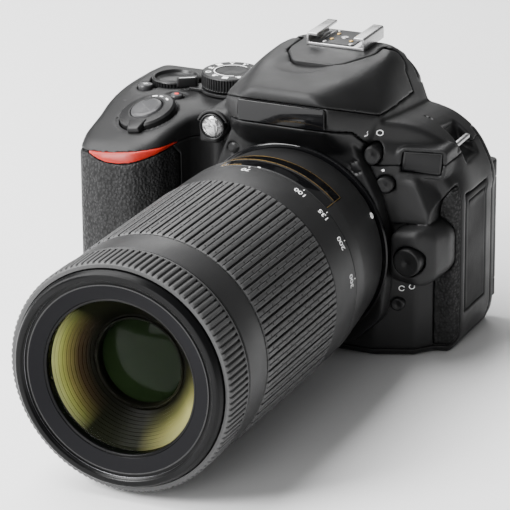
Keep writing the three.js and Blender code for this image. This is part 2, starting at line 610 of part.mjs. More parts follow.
// ---------- Rear ----------
for (const [name, { x, z, r }] of Object.entries(REAR_BUTTONS)) {
  const cap = turned([[0, 0], [r, 0], [r, 4.4], [r - 0.5, 4.9], [0, 4.9]], 14);
  add(name, facingRear(cap, x, 4, z), "control");
}
const onSelector = (solid) => facingRear(solid, SELECTOR.x, 4.2, SELECTOR.z);
const PAD = [[4.1, 0], [SELECTOR.r, 0], [SELECTOR.r, 4.2], [8.4, 5], [4.1, 4.4], [4.1, 0]];
add("multi_selector", onSelector(turned(PAD, 24)), "control");
const okCap = turned([[0, 0], [3.7, 0], [3.7, 4.6], [3.2, 5], [0, 5]], 16);
add("ok_button", onSelector(okCap), "control");
add(
  "eyecup",
  cut(
    prismY([[-16.6, 70.6, 3], [16.6, 70.6, 3], [15.6, 88, 5], [-15.6, 88, 5]], 9.95, 14),
    prismY([[-9.6, 74, 2], [9.6, 74, 2], [9.6, 84.2, 3], [-9.6, 84.2, 3]], 0, 20),
  ),
  "lens_rubber",
);
add("eyepiece_glass", box(-9.05, 9.05, 6.2, 7.6, 73.95, 84.25), "glass");

// ---------- Monitor ----------
const HINGE = { x: 46.8, y: 7.8, r: 2.75 };
const MONITOR = { x0: -31, x1: 42.4, y0: 5, y1: 10.6, z0: 7.4, z1: 56.2 };
add(
  "monitor_hinge",
  cut(
    join(
      along(disc(HINGE.r, 8, 55.6, 20), HINGE.x, HINGE.y, 0),
      box(42.75, HINGE.x, MONITOR.y0, MONITOR.y1, 14, 49.6),
      disc(1.2, 34, HINGE.x, 12).rotate([0, 90, 0]).translate([0, HINGE.y - 0.6, 31.8]),
    ),
    along(disc(1, 0, 14, 12), HINGE.x, HINGE.y, 0),
    along(disc(1, 50, 90, 12), HINGE.x, HINGE.y, 0),
  ),
  "shell",
);
const slab = [
  [MONITOR.x0, MONITOR.z0, 4], [MONITOR.x1, MONITOR.z0, 2],
  [MONITOR.x1, MONITOR.z1, 2], [MONITOR.x0, MONITOR.z1, 4],
];
const glassEdge = shrink(slab, 3);
add(
  "monitor_case",
  cut(
    prismY(slab, MONITOR.y0, MONITOR.y1),
    prismY(shrink(slab, 3 - GAP), MONITOR.y1 - 1.4 - GAP, 20),
    disc(1.55, 33, 60, 12).rotate([0, 90, 0]).translate([0, HINGE.y - 0.6, 31.8]),
  ),
  "shell",
);
add("monitor_glass", prismY(glassEdge, MONITOR.y1 - 1.4, MONITOR.y1 - 0.2), "gloss");

// ---------- Lens ----------
const ZOOM = { y0: -155.6, y1: -76 };
const GRIP_BAND = { y0: -142.4, y1: -92 };
const MOUNT_Y = FLANGE_Y - GAP;
const BAYONET = [
  [18, -40.6], [22, -40.6], [22, MOUNT_Y], [29.4, MOUNT_Y], [29.4, -48.6], [18, -48.6], [18, -40.6],
];
add("lens_bayonet", lensTurned(BAYONET, 28), "steel");
add(
  "rear_barrel",
  lensTurned([
    [30.2, MOUNT_Y - 0.4], [32.2, MOUNT_Y - 0.4], [32.8, -50], [34, -60], [35.3, -70],
    [35.3, ZOOM.y1 + GAP], [31.6, ZOOM.y1 + GAP], [31.6, -150], [30.2, -150], [30.2, -90],
    [20, -90], [20, -52], [30.2, -49.4], [30.2, MOUNT_Y - 0.4],
  ]),
  "barrel",
);
add(
  "zoom_ring",
  lensTurned([
    [32, ZOOM.y1], [35.4, ZOOM.y1], [35.4, GRIP_BAND.y1 + GAP], [34.2, GRIP_BAND.y1 + GAP],
    [34.2, GRIP_BAND.y0 - GAP], [35.4, GRIP_BAND.y0 - GAP], [35.7, ZOOM.y0], [32, ZOOM.y0], [32, ZOOM.y1],
  ]),
  "barrel",
);
add("zoom_rubber", tube(35.9, 34.55, GRIP_BAND.y0, GRIP_BAND.y1), "lens_rubber");
add(
  "front_barrel",
  lensTurned([
    [27.4, -100], [29.6, -100], [29.6, -155.9], [33.6, -156], [33.6, FRONT_Y + 2.6], [32.6, FRONT_Y],
    [30.8, FRONT_Y], [30.2, FRONT_Y + 1.6], [25, -167.4], [25, -160.4], [27.4, -156], [27.4, -100],
  ]),
  "barrel",
);
add("focus_ring", tube(LENS_R, 33.95, -169, -156.2), "lens_rubber");
add(
  "front_lens",
  lensTurned([[0, -160], [24.6, -160], [24.6, -164.4], [18, -167], [10, -168.4], [0, -168.8]], 32),
  "glass",
);
const INNER_GROUP = [[0, -62], [19.6, -62], [19.6, -66], [12, -67.6], [0, -68.2]];
add("inner_lens_group", lensTurned(INNER_GROUP, 28), "glass");

export default camera;
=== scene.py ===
"""A DSLR camera with a telephoto zoom lens. Lengths here are in millimetres until a mesh is made."""
import math
import bpy
import bmesh
import numpy as np
import openvdb
from mathutils import Matrix, Vector
from mathutils.bvhtree import BVHTree


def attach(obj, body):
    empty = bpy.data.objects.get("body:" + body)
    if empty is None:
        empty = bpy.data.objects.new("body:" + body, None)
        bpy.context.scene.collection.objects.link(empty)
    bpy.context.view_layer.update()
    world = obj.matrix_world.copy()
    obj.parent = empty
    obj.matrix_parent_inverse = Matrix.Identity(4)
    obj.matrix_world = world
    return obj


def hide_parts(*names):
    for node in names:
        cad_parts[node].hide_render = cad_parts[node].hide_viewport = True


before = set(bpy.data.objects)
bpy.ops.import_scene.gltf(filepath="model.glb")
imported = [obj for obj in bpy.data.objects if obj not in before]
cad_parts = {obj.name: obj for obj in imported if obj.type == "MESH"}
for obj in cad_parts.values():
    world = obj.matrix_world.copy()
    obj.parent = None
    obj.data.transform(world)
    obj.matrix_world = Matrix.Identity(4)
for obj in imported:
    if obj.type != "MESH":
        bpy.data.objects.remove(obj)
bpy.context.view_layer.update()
MM = 0.001
AXIS_Z = 37.7  # height of the lens axis
WALL = 1.9  # thickness of the casing
FINE = 0.5  # voxel of the casing


# ---------------------------------------------------------------- materials
def new_material(name, colour, rough, metal=0.0, **sockets):
    m = bpy.data.materials.new(name)
    m.use_nodes = True
    nt = m.node_tree
    p = nt.nodes["Principled BSDF"]
    p.inputs["Base Color"].default_value = (*colour, 1)
    p.inputs["Roughness"].default_value = rough
    p.inputs["Metallic"].default_value = metal
    if not metal:
        p.inputs["Specular IOR Level"].default_value = 0.28
    for key, value in sockets.items():
        p.inputs[key.replace("_", " ")].default_value = value
    m.diffuse_color = (*colour, 1)
    return m, nt, p


def node(nt, kind, **values):
    n = nt.nodes.new(kind)
    for key, value in values.items():
        if key in n.inputs:
            n.inputs[key].default_value = value
        else:
            setattr(n, key, value)
    return n


def feed(nt, shader, **outputs):
    """Wires outputs to the shader's sockets, with _ for a space in a socket's name."""
    for key, value in outputs.items():
        nt.links.new(value, shader.inputs[key.replace("_", " ")])


def coords(nt):
    return node(nt, "ShaderNodeTexCoord").outputs["Object"]


def noise(nt, scale, detail=3.0, rough=0.55, vector=None):
    n = node(nt, "ShaderNodeTexNoise", Scale=scale, Detail=detail, Roughness=rough)
    nt.links.new(vector or coords(nt), n.inputs["Vector"])
    return n.outputs["Fac"]


def spread(nt, value, lo, hi, from_lo=0.3, from_hi=0.7):
    n = node(nt, "ShaderNodeMapRange")
    n.inputs["From Min"].default_value = from_lo
    n.inputs["From Max"].default_value = from_hi
    n.inputs["To Min"].default_value = lo
    n.inputs["To Max"].default_value = hi
    nt.links.new(value, n.inputs["Value"])
    return n.outputs["Result"]


def bump(nt, height, distance, strength=1.0, normal=None):
    n = node(nt, "ShaderNodeBump", Strength=strength, Distance=distance)
    nt.links.new(height, n.inputs["Height"])
    if normal is not None:
        nt.links.new(normal, n.inputs["Normal"])
    return n.outputs["Normal"]


def ramp(nt, value, stops):
    n = node(nt, "ShaderNodeValToRGB")
    e = n.color_ramp.elements
    e[0].position, e[0].color = stops[0][0], (*stops[0][1], 1)
    e[1].position, e[1].color = stops[-1][0], (*stops[-1][1], 1)
    for at, colour in stops[1:-1]:
        x = e.new(at)
        x.color = (*colour, 1)
    nt.links.new(value, n.inputs["Fac"])
    return n.outputs["Color"]


def tint(colour, k):
    return tuple(min(1.0, c * k) for c in colour)


def plastic(name, colour, rough=0.5, grain=0.00004, scale=2600, edge_lift=1.35, spread_rough=0.1, **sockets):
    """Moulded plastic: spark-eroded grain, uneven gloss, and a lighter colour on sharp convex edges."""
    m, nt, p = new_material(name, colour, rough, **sockets)
    fine = noise(nt, scale, 2.0, 0.6)
    broad = noise(nt, 45, 3.0)
    geo = node(nt, "ShaderNodeNewGeometry")
    edge = spread(nt, geo.outputs["Pointiness"], 0.0, 1.0, 0.515, 0.56)
    mix = node(nt, "ShaderNodeMix", data_type="RGBA")
    nt.links.new(ramp(nt, broad, [(0.3, tint(colour, 0.86)), (0.7, tint(colour, 1.12))]), mix.inputs["A"])
    # the colour is lighter where the surface is sharply convex
    mix.inputs["B"].default_value = (*tint(colour, edge_lift * 1.25), 1)
    nt.links.new(edge, mix.inputs["Factor"])
    feed(nt, p, Base_Color=mix.outputs["Result"])
    feed(nt, p, Roughness=spread(nt, broad, rough - spread_rough, rough + spread_rough))
    feed(nt, p, Normal=bump(nt, fine, grain, 1.0))
    return m


def pebbled(name, colour, rough=0.62, cell=1150, depth=0.00016):
    """Moulded rubber with a leather-like pebble."""
    m, nt, p = new_material(name, colour, rough)
    at = coords(nt)
    warp = node(nt, "ShaderNodeTexNoise", Scale=900.0, Detail=2.0)
    nt.links.new(at, warp.inputs["Vector"])
    add = node(nt, "ShaderNodeVectorMath", operation="MULTIPLY_ADD")
    nt.links.new(warp.outputs["Color"], add.inputs[0])
    add.inputs[1].default_value = (0.0007, 0.0007, 0.0007)
    nt.links.new(at, add.inputs[2])
    v = node(nt, "ShaderNodeTexVoronoi", Scale=cell, feature="SMOOTH_F1", Smoothness=0.35)
    nt.links.new(add.outputs[0], v.inputs["Vector"])
    h = spread(nt, v.outputs["Distance"], 1.0, 0.0, 0.15, 0.75)
    fine = bump(nt, noise(nt, 5200, 2.0), 0.00002, 0.7)
    feed(nt, p, Normal=bump(nt, h, depth, 1.0, fine))
    # painted shade in the pits of the pebble and painted highlights on its tops: the colour follows the
    # pebble's height
    feed(nt, p, Base_Color=ramp(nt, h, [(0.0, tint(colour, 0.45)), (0.55, colour), (1.0, tint(colour, 1.7))]))
    feed(nt, p, Roughness=spread(nt, h, rough + 0.16, rough - 0.1, 0.0, 1.0))
    return m


def metal(name, colour, rough=0.3, stretch=(1, 1, 1)):
    """Bare metal with fine lines, drawn out by stretch."""
    m, nt, p = new_material(name, colour, rough, 1.0)
    mapping = node(nt, "ShaderNodeMapping")
    mapping.inputs["Scale"].default_value = stretch
    nt.links.new(coords(nt), mapping.inputs["Vector"])
    lines = noise(nt, 1500, 4.0, 0.7, mapping.outputs["Vector"])
    feed(nt, p, Roughness=spread(nt, lines, rough - 0.1, rough + 0.16))
    feed(nt, p, Base_Color=ramp(nt, lines, [(0.3, tint(colour, 0.8)), (0.7, tint(colour, 1.1))]))
    feed(nt, p, Normal=bump(nt, lines, 0.00001, 0.8))
    return m


def gloss(name, colour, rough=0.08, **sockets):
    """Polished plastic or glass face, with faint orange peel, dust and smears."""
    m, nt, p = new_material(name, colour, rough, **sockets)
    smear = noise(nt, 70, 4.0, 0.6)
    feed(nt, p, Roughness=spread(nt, smear, max(0.01, rough - 0.04), rough + 0.08, 0.35, 0.75))
    feed(nt, p, Base_Color=ramp(nt, smear, [(0.3, tint(colour, 0.85)), (0.75, tint(colour, 1.15))]))
    feed(nt, p, Normal=bump(nt, noise(nt, 420, 2.0), 0.000006, 0.6))
    return m


def maths(nt, operation, *values):
    """The output of a maths node, fed by numbers or by other outputs."""
    n = node(nt, "ShaderNodeMath", operation=operation)
    for socket, v in zip(n.inputs, values):
        if isinstance(v, (int, float)):
            socket.default_value = v
        else:
            nt.links.new(v, socket)
    return n.outputs[0]


def mixed(nt, factor, a, b):
    n = node(nt, "ShaderNodeMix", data_type="RGBA")
    nt.links.new(factor, n.inputs["Factor"])
    for key, v in (("A", a), ("B", b)):
        if isinstance(v, tuple):
            n.inputs[key].default_value = (*v, 1)
        else:
            nt.links.new(v, n.inputs[key])
    return n.outputs["Result"]


def coated(name, tone, rough):
    """Dark glass deep in the barrel: nearly black face on, with a painted greenish sheen towards the edge for
    the coating's reflection.
    """
    m, nt, p = new_material(name, tone, rough, Specular_IOR_Level=0.06)
    edge = node(nt, "ShaderNodeLayerWeight", Blend=0.4)
    # painted sheen: the colour turns greener and lighter as the surface turns away at low angles
    feed(nt, p, Base_Color=ramp(nt, edge.outputs["Facing"], [(0.0, tint(tone, 0.6)), (0.45, tone),
                                                             (1.0, tint(tone, 3.5))]))
    feed(nt, p, Roughness=spread(nt, noise(nt, 90, 3), rough, rough + 0.05))
    return m


def element_glass():
    """The coated front element: almost clear face on, more of a mirror at a low angle."""
    m, nt, p = new_material("coated_element", (0.004, 0.007, 0.003), 0.02, Specular_IOR_Level=0.9)
    edge = node(nt, "ShaderNodeLayerWeight", Blend=0.5)
    feed(nt, p, Alpha=spread(nt, edge.outputs["Facing"], 0.0, 0.7, 0.3, 1.0))
    feed(nt, p, Roughness=spread(nt, noise(nt, 60, 3), 0.01, 0.05))
    return m


def baffle_look():
    """Steps inside the barrel, with painted reflections of the coated glass: a greenish crescent on the left,
    thin rings at the right.
    """
    m, nt, p = new_material("baffle_painted_reflections", (0.01, 0.011, 0.005), 0.3, Specular_IOR_Level=0.03)
    at = node(nt, "ShaderNodeSeparateXYZ")
    nt.links.new(coords(nt), at.inputs["Vector"])
    x, z = at.outputs["X"], maths(nt, "SUBTRACT", at.outputs["Z"], AXIS_Z * MM)
    turn = maths(nt, "MULTIPLY_ADD", maths(nt, "ARCTAN2", z, x), 1 / (2 * math.pi), 0.5)
    radius = maths(nt, "SQRT", maths(nt, "ADD", maths(nt, "MULTIPLY", x, x), maths(nt, "MULTIPLY", z, z)))
    out = spread(nt, radius, 0.0, 1.0, 0.0154, 0.0239)
    black, white = (0.0, 0.0, 0.0), (1.0, 1.0, 1.0)
    left = ramp(nt, turn, [(0.0, white), (0.07, (0.8, 0.8, 0.8)), (0.16, black), (0.86, black),
                           (0.95, (0.8, 0.8, 0.8)), (1.0, white)])
    right = ramp(nt, turn, [(0.27, black), (0.36, (0.7, 0.7, 0.7)), (0.43, white), (0.49, (0.3, 0.3, 0.3)),
                            (0.53, black)])
    # painted reflections: the crescent on the left and the thin rings at the right grow brighter and greener
    # towards the rim
    crescent = ramp(nt, out, [(0.05, (0.006, 0.006, 0.004)), (0.35, (0.035, 0.022, 0.010)),
                              (0.6, (0.14, 0.12, 0.035)), (0.8, (0.29, 0.31, 0.08)), (1.0, (0.5, 0.52, 0.21))])
    rings = ramp(nt, out, [(0.0, (0.01, 0.01, 0.005)), (0.3, (0.07, 0.07, 0.025)), (0.7, (0.26, 0.25, 0.09)),
                           (1.0, (0.30, 0.29, 0.12))])
    dark = ramp(nt, out, [(0.0, (0.003, 0.003, 0.002)), (1.0, (0.006, 0.007, 0.003))])
    feed(nt, p, Base_Color=mixed(nt, right, mixed(nt, left, dark, crescent), rings))
    feed(nt, p, Roughness=spread(nt, noise(nt, 300, 3), 0.3, 0.45))
    return m


def lamp_facets():
    """The silvered facets behind the focus-assist lamp's lens."""
    m, nt, p = new_material("lamp_facets", (0.36, 0.36, 0.37), 0.12, 0.75)
    v = node(nt, "ShaderNodeTexVoronoi", Scale=520.0, feature="F1", distance="CHEBYCHEV")
    nt.links.new(coords(nt), v.inputs["Vector"])
    feed(nt, p, Normal=bump(nt, v.outputs["Distance"], 0.0005, 1.0))
    # painted glint in the middle of each facet and painted shade towards its edges
    feed(nt, p, Base_Color=ramp(nt, v.outputs["Distance"], [(0.0, (0.75, 0.75, 0.75)), (0.4, (0.4, 0.4, 0.4)),
                                                            (0.75, (0.12, 0.12, 0.12))]))
    feed(nt, p, Roughness=spread(nt, noise(nt, 800, 2), 0.08, 0.25))
    return m


def flash_glass():
    """The ribbed window of the flash."""
    m, nt, p = new_material("flash_window", (0.75, 0.75, 0.72), 0.15)
    w = node(nt, "ShaderNodeTexWave", Scale=900.0, bands_direction="X")
    nt.links.new(coords(nt), w.inputs["Vector"])
    feed(nt, p, Normal=bump(nt, w.outputs["Fac"], 0.0002, 0.8))
    # painted highlights on the crests of the ribs and painted shade in their troughs
    feed(nt, p, Base_Color=ramp(nt, w.outputs["Fac"], [(0, (0.55, 0.55, 0.53)), (1, (0.85, 0.85, 0.82))]))
    return m


BLACK = (0.0085, 0.0085, 0.0088)
M = {
    "shell": plastic("body_plastic", BLACK, 0.46),
    # panel: darker than the body plastic; on the mount panel this darker tone is painted shade of the recess
    # round the mount
    "panel": plastic("panel_plastic", (0.0035, 0.0035, 0.0038), 0.42, 0.00002),
    "rubber": pebbled("grip_rubber_grain", (0.0074, 0.0074, 0.0077), 0.58, 1050, 0.00022),
    "door_rubber": plastic("door_rubber", (0.0055, 0.0055, 0.0058), 0.62, 0.00005, 1900,
                           Specular_IOR_Level=0.16),
    "control": plastic("control_plastic", (0.007, 0.007, 0.0073), 0.36, 0.00002, 3400),
    "barrel": plastic("barrel_plastic", (0.016, 0.016, 0.0163), 0.44, 0.000035, 3000),
    "lens_rubber": plastic("lens_rubber", (0.034, 0.034, 0.0343), 0.54, 0.00003, 2600, Specular_IOR_Level=0.42),
    "bezel": plastic("bezel_plastic", (0.0026, 0.0026, 0.0028), 0.3, 0.000008, 3600, Specular_IOR_Level=0.13),
    "name_ring": plastic("ring_plastic", (0.003, 0.003, 0.0036), 0.55, 0.00001, 4200, Specular_IOR_Level=0.08),
    "gloss": gloss("gloss_black", (0.0035, 0.0035, 0.004), 0.07),
    "screen": gloss("screen_glass", (0.002, 0.002, 0.0025), 0.04, Coat_Weight=0.5),
    "accent": plastic("red_gloss", (0.26, 0.011, 0.006), 0.36, 0.000005, 900, Coat_Weight=0.06,
                      Coat_Roughness=0.25),
    "steel": metal("satin_steel", (0.5, 0.5, 0.5), 0.3, (0.05, 1, 1)),
    "dark_steel": metal("dark_steel", (0.2, 0.2, 0.21), 0.35),
    "mirror": metal("silvered", (0.85, 0.87, 0.88), 0.08),
    "mark": plastic("white_mark", (0.62, 0.62, 0.6), 0.5, 0.000004),
    "gold": metal("gold_line", (0.62, 0.4, 0.13), 0.3),
    "red_mark": plastic("red_mark", (0.5, 0.02, 0.015), 0.4, 0.000004),
    "board": plastic("circuit_board", (0.012, 0.065, 0.024), 0.4, 0.00006, 700),
    "battery": plastic("battery_case", (0.04, 0.04, 0.043), 0.5, 0.00003, 2400),
    "lcd": gloss("display_panel", (0.004, 0.0045, 0.006), 0.12),
    "shutter": plastic("shutter_satin", (0.05, 0.05, 0.052), 0.3, 0.00001, 4200),
    "button_top": plastic("button_satin", (0.03, 0.03, 0.031), 0.3, 0.00001, 4200),
    "eyecup": plastic("eyecup_rubber", (0.012, 0.012, 0.012), 0.75, 0.00004, 2200),
    "element": element_glass(),
    "baffle": baffle_look(),
    "deep_glass": coated("deep_element_painted_sheen", (0.006, 0.011, 0.004), 0.06),
    "lamp": lamp_facets(),
    "window": flash_glass(),
}


# ---------------------------------------------------------------- meshes
def finish_piece(me, name, mat, body, stands_for=(), sharp=None):
    """Makes a mesh an object that rides on a body and may stand for a CAD node."""
    ob = bpy.data.objects.new(name, me)
    bpy.context.scene.collection.objects.link(ob)
    me.materials.append(M[mat])
    if sharp is not None:
        set_sharp(me, sharp)
    if stands_for:
        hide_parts(stands_for)
    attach(ob, body)
    return ob


def set_sharp(me, degrees):
    """Smooth faces, with hard edges where they meet at more than some degrees."""
    bm = bmesh.new()
    bm.from_mesh(me)
    limit = math.radians(degrees)
    for f in bm.faces:
        f.smooth = True
    for e in bm.edges:
        e.smooth = not (len(e.link_faces) == 2 and e.calc_face_angle(0) > limit)
    bm.to_mesh(me)
    bm.free()


def mesh_of(name, verts, faces):
    """A mesh from millimetres, with its normals outward."""
    me = bpy.data.meshes.new(name)
    me.from_pydata([tuple(float(c) * MM for c in v) for v in verts], [], faces)
    me.validate()
    bm = bmesh.new()
    bm.from_mesh(me)
    bmesh.ops.recalc_face_normals(bm, faces=bm.faces)
    bm.to_mesh(me)
    bm.free()
    return me


def fillet(points, radii, steps=5):
    """Rounds the corners of a closed outline. radii is one number or one per point."""
    n = len(points)
    if not hasattr(radii, "__len__"):
        radii = [radii] * n
    out = []
    for i, (p, r) in enumerate(zip(points, radii)):
        p = np.array(p[:2], float)
        if r <= 0:
            out.append(tuple(p))
            continue
        a = np.array(points[i - 1][:2], float) - p
        b = np.array(points[(i + 1) % n][:2], float) - p
        la, lb = np.linalg.norm(a), np.linalg.norm(b)
        a, b = a / la, b / lb
        half = math.acos(np.clip(a @ b, -1, 1)) / 2
        if half > math.pi / 2 - 0.01:
            out.append(tuple(p))
            continue
        reach = min(r / math.tan(half), la * 0.48, lb * 0.48)
        rr = reach * math.tan(half)
        centre = p + (a + b) / np.linalg.norm(a + b) * (rr / math.sin(half))
        s, e = p + a * reach, p + b * reach
        a0 = math.atan2(*(s - centre)[::-1])
        a1 = math.atan2(*(e - centre)[::-1])
        d = (a1 - a0 + math.pi) % (2 * math.pi) - math.pi
        for k in range(steps + 1):
            t = a0 + d * k / steps
            out.append((centre[0] + rr * math.cos(t), centre[1] + rr * math.sin(t)))
    return out


def rounded(corners):
    """An outline from corners (u, v, radius), or (u, v) where the corner is sharp."""
    return fillet([c[:2] for c in corners], [c[2] if len(c) > 2 else 0 for c in corners])


def moved(verts, place=None, at=(0, 0, 0)):
    """Points carried by a matrix, then by an offset."""
    verts = np.array(verts)
    if place is not None:
        verts = verts @ np.array(place.to_3x3()).T + np.array(place.translation)
    return verts + np.array(at)


def lathe(name, profile, mat, body, sides=160, rounding=0.25, stands_for=(), sharp=32, place=None,
          at=(0, 0, 0), wobble=None):
    """Turns a closed profile of (radius, height) about +Z, or about the lens axis with place LENS."""
    prof = fillet(profile, rounding, 3) if rounding else [tuple(p[:2]) for p in profile]
    n = len(prof)
    verts, faces = [], []
    on_axis = [p[0] < 1e-6 for p in prof]
    index = {}
    for j in range(sides):
        a = 2 * math.pi * j / sides
        for i, (r, h) in enumerate(prof):
            if on_axis[i]:
                if (i,) not in index:
                    index[(i,)] = len(verts)
                    verts.append((0, 0, h))
                index[(i, j)] = index[(i,)]
            else:
                rr = r + (wobble(a, r, h) if wobble else 0)
                index[(i, j)] = len(verts)
                verts.append((rr * math.cos(a), rr * math.sin(a), h))
    for j in range(sides):
        k = (j + 1) % sides
        for i in range(n):
            q = (i + 1) % n
            loop = [index[(i, j)], index[(i, k)], index[(q, k)], index[(q, j)]]
            loop = [v for m, v in enumerate(loop) if v not in loop[:m]]
            if len(loop) > 2:
                faces.append(loop)
    return finish_piece(mesh_of(name, moved(verts, place, at), faces), name, mat, body, stands_for, sharp)


LENS = Matrix.Translation((0, 0, AXIS_Z)) @ Matrix.Rotation(math.radians(90), 4, "X")
# With LENS a height h lies at y = -h, so the profiles below give distance in front of the sensor.


def extrude(outline, lo, hi, axis="z", rim=0.0):
    """(verts, faces) of an outline pulled along an axis, with its edges rounded by rim."""
    pts = np.array(outline, float)
    area = 0.5 * np.sum(pts[:, 0] * np.roll(pts[:, 1], -1) - np.roll(pts[:, 0], -1) * pts[:, 1])
    if area < 0:
        pts = pts[::-1]
    n = len(pts)
    e = np.roll(pts, -1, 0) - pts
    nrm = np.stack([e[:, 1], -e[:, 0]], 1) / np.maximum(np.linalg.norm(e, axis=1), 1e-9)[:, None]
    mid = nrm + np.roll(nrm, 1, 0)
    mid = mid * (2 / np.maximum(np.sum(mid * mid, 1), 0.3))[:, None]
    levels = [(0, lo), (0, hi)]
    if rim > 0:
        turn = [math.pi / 6 * k for k in range(4)]
        levels = [(rim * (1 - math.sin(t)), lo + rim * (1 - math.cos(t))) for t in turn]
        levels += [(i, lo + hi - h) for i, h in levels[::-1]]
    verts, faces = [], []
    for inset, h in levels:
        for p in pts - mid * inset:
            verts.append({"z": (p[0], p[1], h), "y": (p[0], h, p[1]), "x": (h, p[0], p[1])}[axis])
    for k in range(len(levels) - 1):
        for i in range(n):
            j = (i + 1) % n
            faces.append([k * n + i, k * n + j, (k + 1) * n + j, (k + 1) * n + i])
    faces.append(list(range(n))[::-1])
    faces.append([(len(levels) - 1) * n + i for i in range(n)])
    return verts, faces


def block(name, outline, lo, hi, axis, mat, body, rim=0.25, stands_for=(), sharp=32, place=None):
    """A piece of one thickness: an outline pulled along an axis."""
    verts, faces = extrude(outline, lo, hi, axis, rim)
    return finish_piece(mesh_of(name, moved(verts, place), faces), name, mat, body, stands_for, sharp)


def circle(r, n, cx=0.0, cy=0.0):
    turn = [2 * math.pi * i / n for i in range(n)]
    return [(cx + r * math.cos(t), cy + r * math.sin(t)) for t in turn]


def rect(x0, x1, y0, y1, r=0.0):
    return fillet([(x0, y0), (x1, y0), (x1, y1), (x0, y1)], r, 4)


# ---------------------------------------------------------------- distance fields
class Space:
    """A grid of points, in millimetres."""

    def __init__(self, lo, hi, step=FINE):
        self.lo, self.step = np.array(lo, float), step
        x, y, z = [np.arange(a, b + step, step, dtype=np.float32) for a, b in zip(lo, hi)]
        self.axes = (x, y, z)
        self.x, self.y, self.z = x[:, None, None], y[None, :, None], z[None, None, :]


def flat_distance(poly, u, v):
    """Signed distance to a closed polygon over the grid u by v."""
    p = np.array(poly, np.float32)
    q = np.roll(p, -1, 0)
    uu, vv = np.meshgrid(u, v, indexing="ij")
    best = np.full(uu.shape, 1e9, np.float32)
    inside = np.zeros(uu.shape, bool)
    for (ax, ay), (bx, by) in zip(p, q):
        ex, ey = bx - ax, by - ay
        wx, wy = uu - ax, vv - ay
        t = np.clip((wx * ex + wy * ey) / max(ex * ex + ey * ey, 1e-9), 0, 1)
        best = np.minimum(best, (wx - ex * t) ** 2 + (wy - ey * t) ** 2)
        if ay != by:
            hit = ((ay > vv) != (by > vv)) & (uu < (bx - ax) * (vv - ay) / (by - ay) + ax)
            inside ^= hit
    d = np.sqrt(best)
    return np.where(inside, -d, d)


def in_xy(s, corners):
    return flat_distance(rounded(corners), s.axes[0], s.axes[1])[:, :, None]


def in_xz(s, corners):
    return flat_distance(rounded(corners), s.axes[0], s.axes[2])[:, None, :]


def in_yz(s, corners):
    return flat_distance(rounded(corners), s.axes[1], s.axes[2])[None, :, :]


def smax(a, b, k):
    """What lies in both fields, its edges rounded over a width of k."""
    h = np.maximum(k - np.abs(a - b), 0) / k
    return np.maximum(a, b) + h * h * (k * 0.25)


def smin(a, b, k):
    """What lies in either field, its inner corners filled over a width of k."""
    h = np.maximum(k - np.abs(a - b), 0) / k
    return np.minimum(a, b) - h * h * (k * 0.25)


def both(*fields, k=0.3):
    out = fields[0]
    for f in fields[1:]:
        out = smax(out, f, k)
    return out


def less(a, b, k=0.3):
    return smax(a, -b, k)


def less_all(field, *cuts):
    """Takes each (field, radius) away in turn."""
    for cut, k in cuts:
        field = less(field, cut, k)
    return field


def slab(s, x0, x1, y0, y1, z0, z1):
    dx = np.maximum(x0 - s.x, s.x - x1)
    dy = np.maximum(y0 - s.y, s.y - y1)
    dz = np.maximum(z0 - s.z, s.z - z1)
    return np.maximum(np.maximum(dx, dy), dz)


def rod(s, r, axis, a, b, stretch=1.0):
    """An endless round rod along an axis, through (a, b) in the other two."""
    if axis == "z":
        return np.sqrt((s.x - a) ** 2 + (s.y - b) ** 2) - r
    if axis == "y":
        return np.sqrt((s.x - a) ** 2 + ((s.z - b) / stretch) ** 2) - r
    return np.sqrt((s.y - a) ** 2 + (s.z - b) ** 2) - r


def hull_planes(points):
    """The outward planes (normal, offset) of a convex hull."""
    p = np.array(points, float)
    mid = p.mean(0)
    found = []
    n = len(p)
    for i in range(n):
        for j in range(i + 1, n):
            for k in range(j + 1, n):
                v = np.cross(p[j] - p[i], p[k] - p[i])
                size = np.linalg.norm(v)
                if size < 1e-6:
                    continue
                v = v / size
                d = v @ p[i]
                if v @ mid > d:
                    v, d = -v, -d
                if np.max(p @ v) < d + 1e-4 and not any(np.linalg.norm(v - w) < 1e-3 for w, _ in found):
                    found.append((v, d))
    # faces that are nearly level with each other become one
    i = 0
    while i < len(found):
        near = [k for k in range(i + 1, len(found)) if found[i][0] @ found[k][0] > math.cos(math.radians(7))]
        if near:
            v = found[i][0] + found.pop(near[0])[0]
            v = v / np.linalg.norm(v)
            found[i] = (v, np.max(p @ v))
        else:
            i += 1
    return found


def convex(s, points, k=1.0):
    """The hull of some points, with rounded edges."""
    out = None
    for v, d in hull_planes(points):
        f = np.float32(v[0]) * s.x + np.float32(v[1]) * s.y + np.float32(v[2]) * s.z - np.float32(d)
        out = f if out is None else smax(out, f, k)
    return out


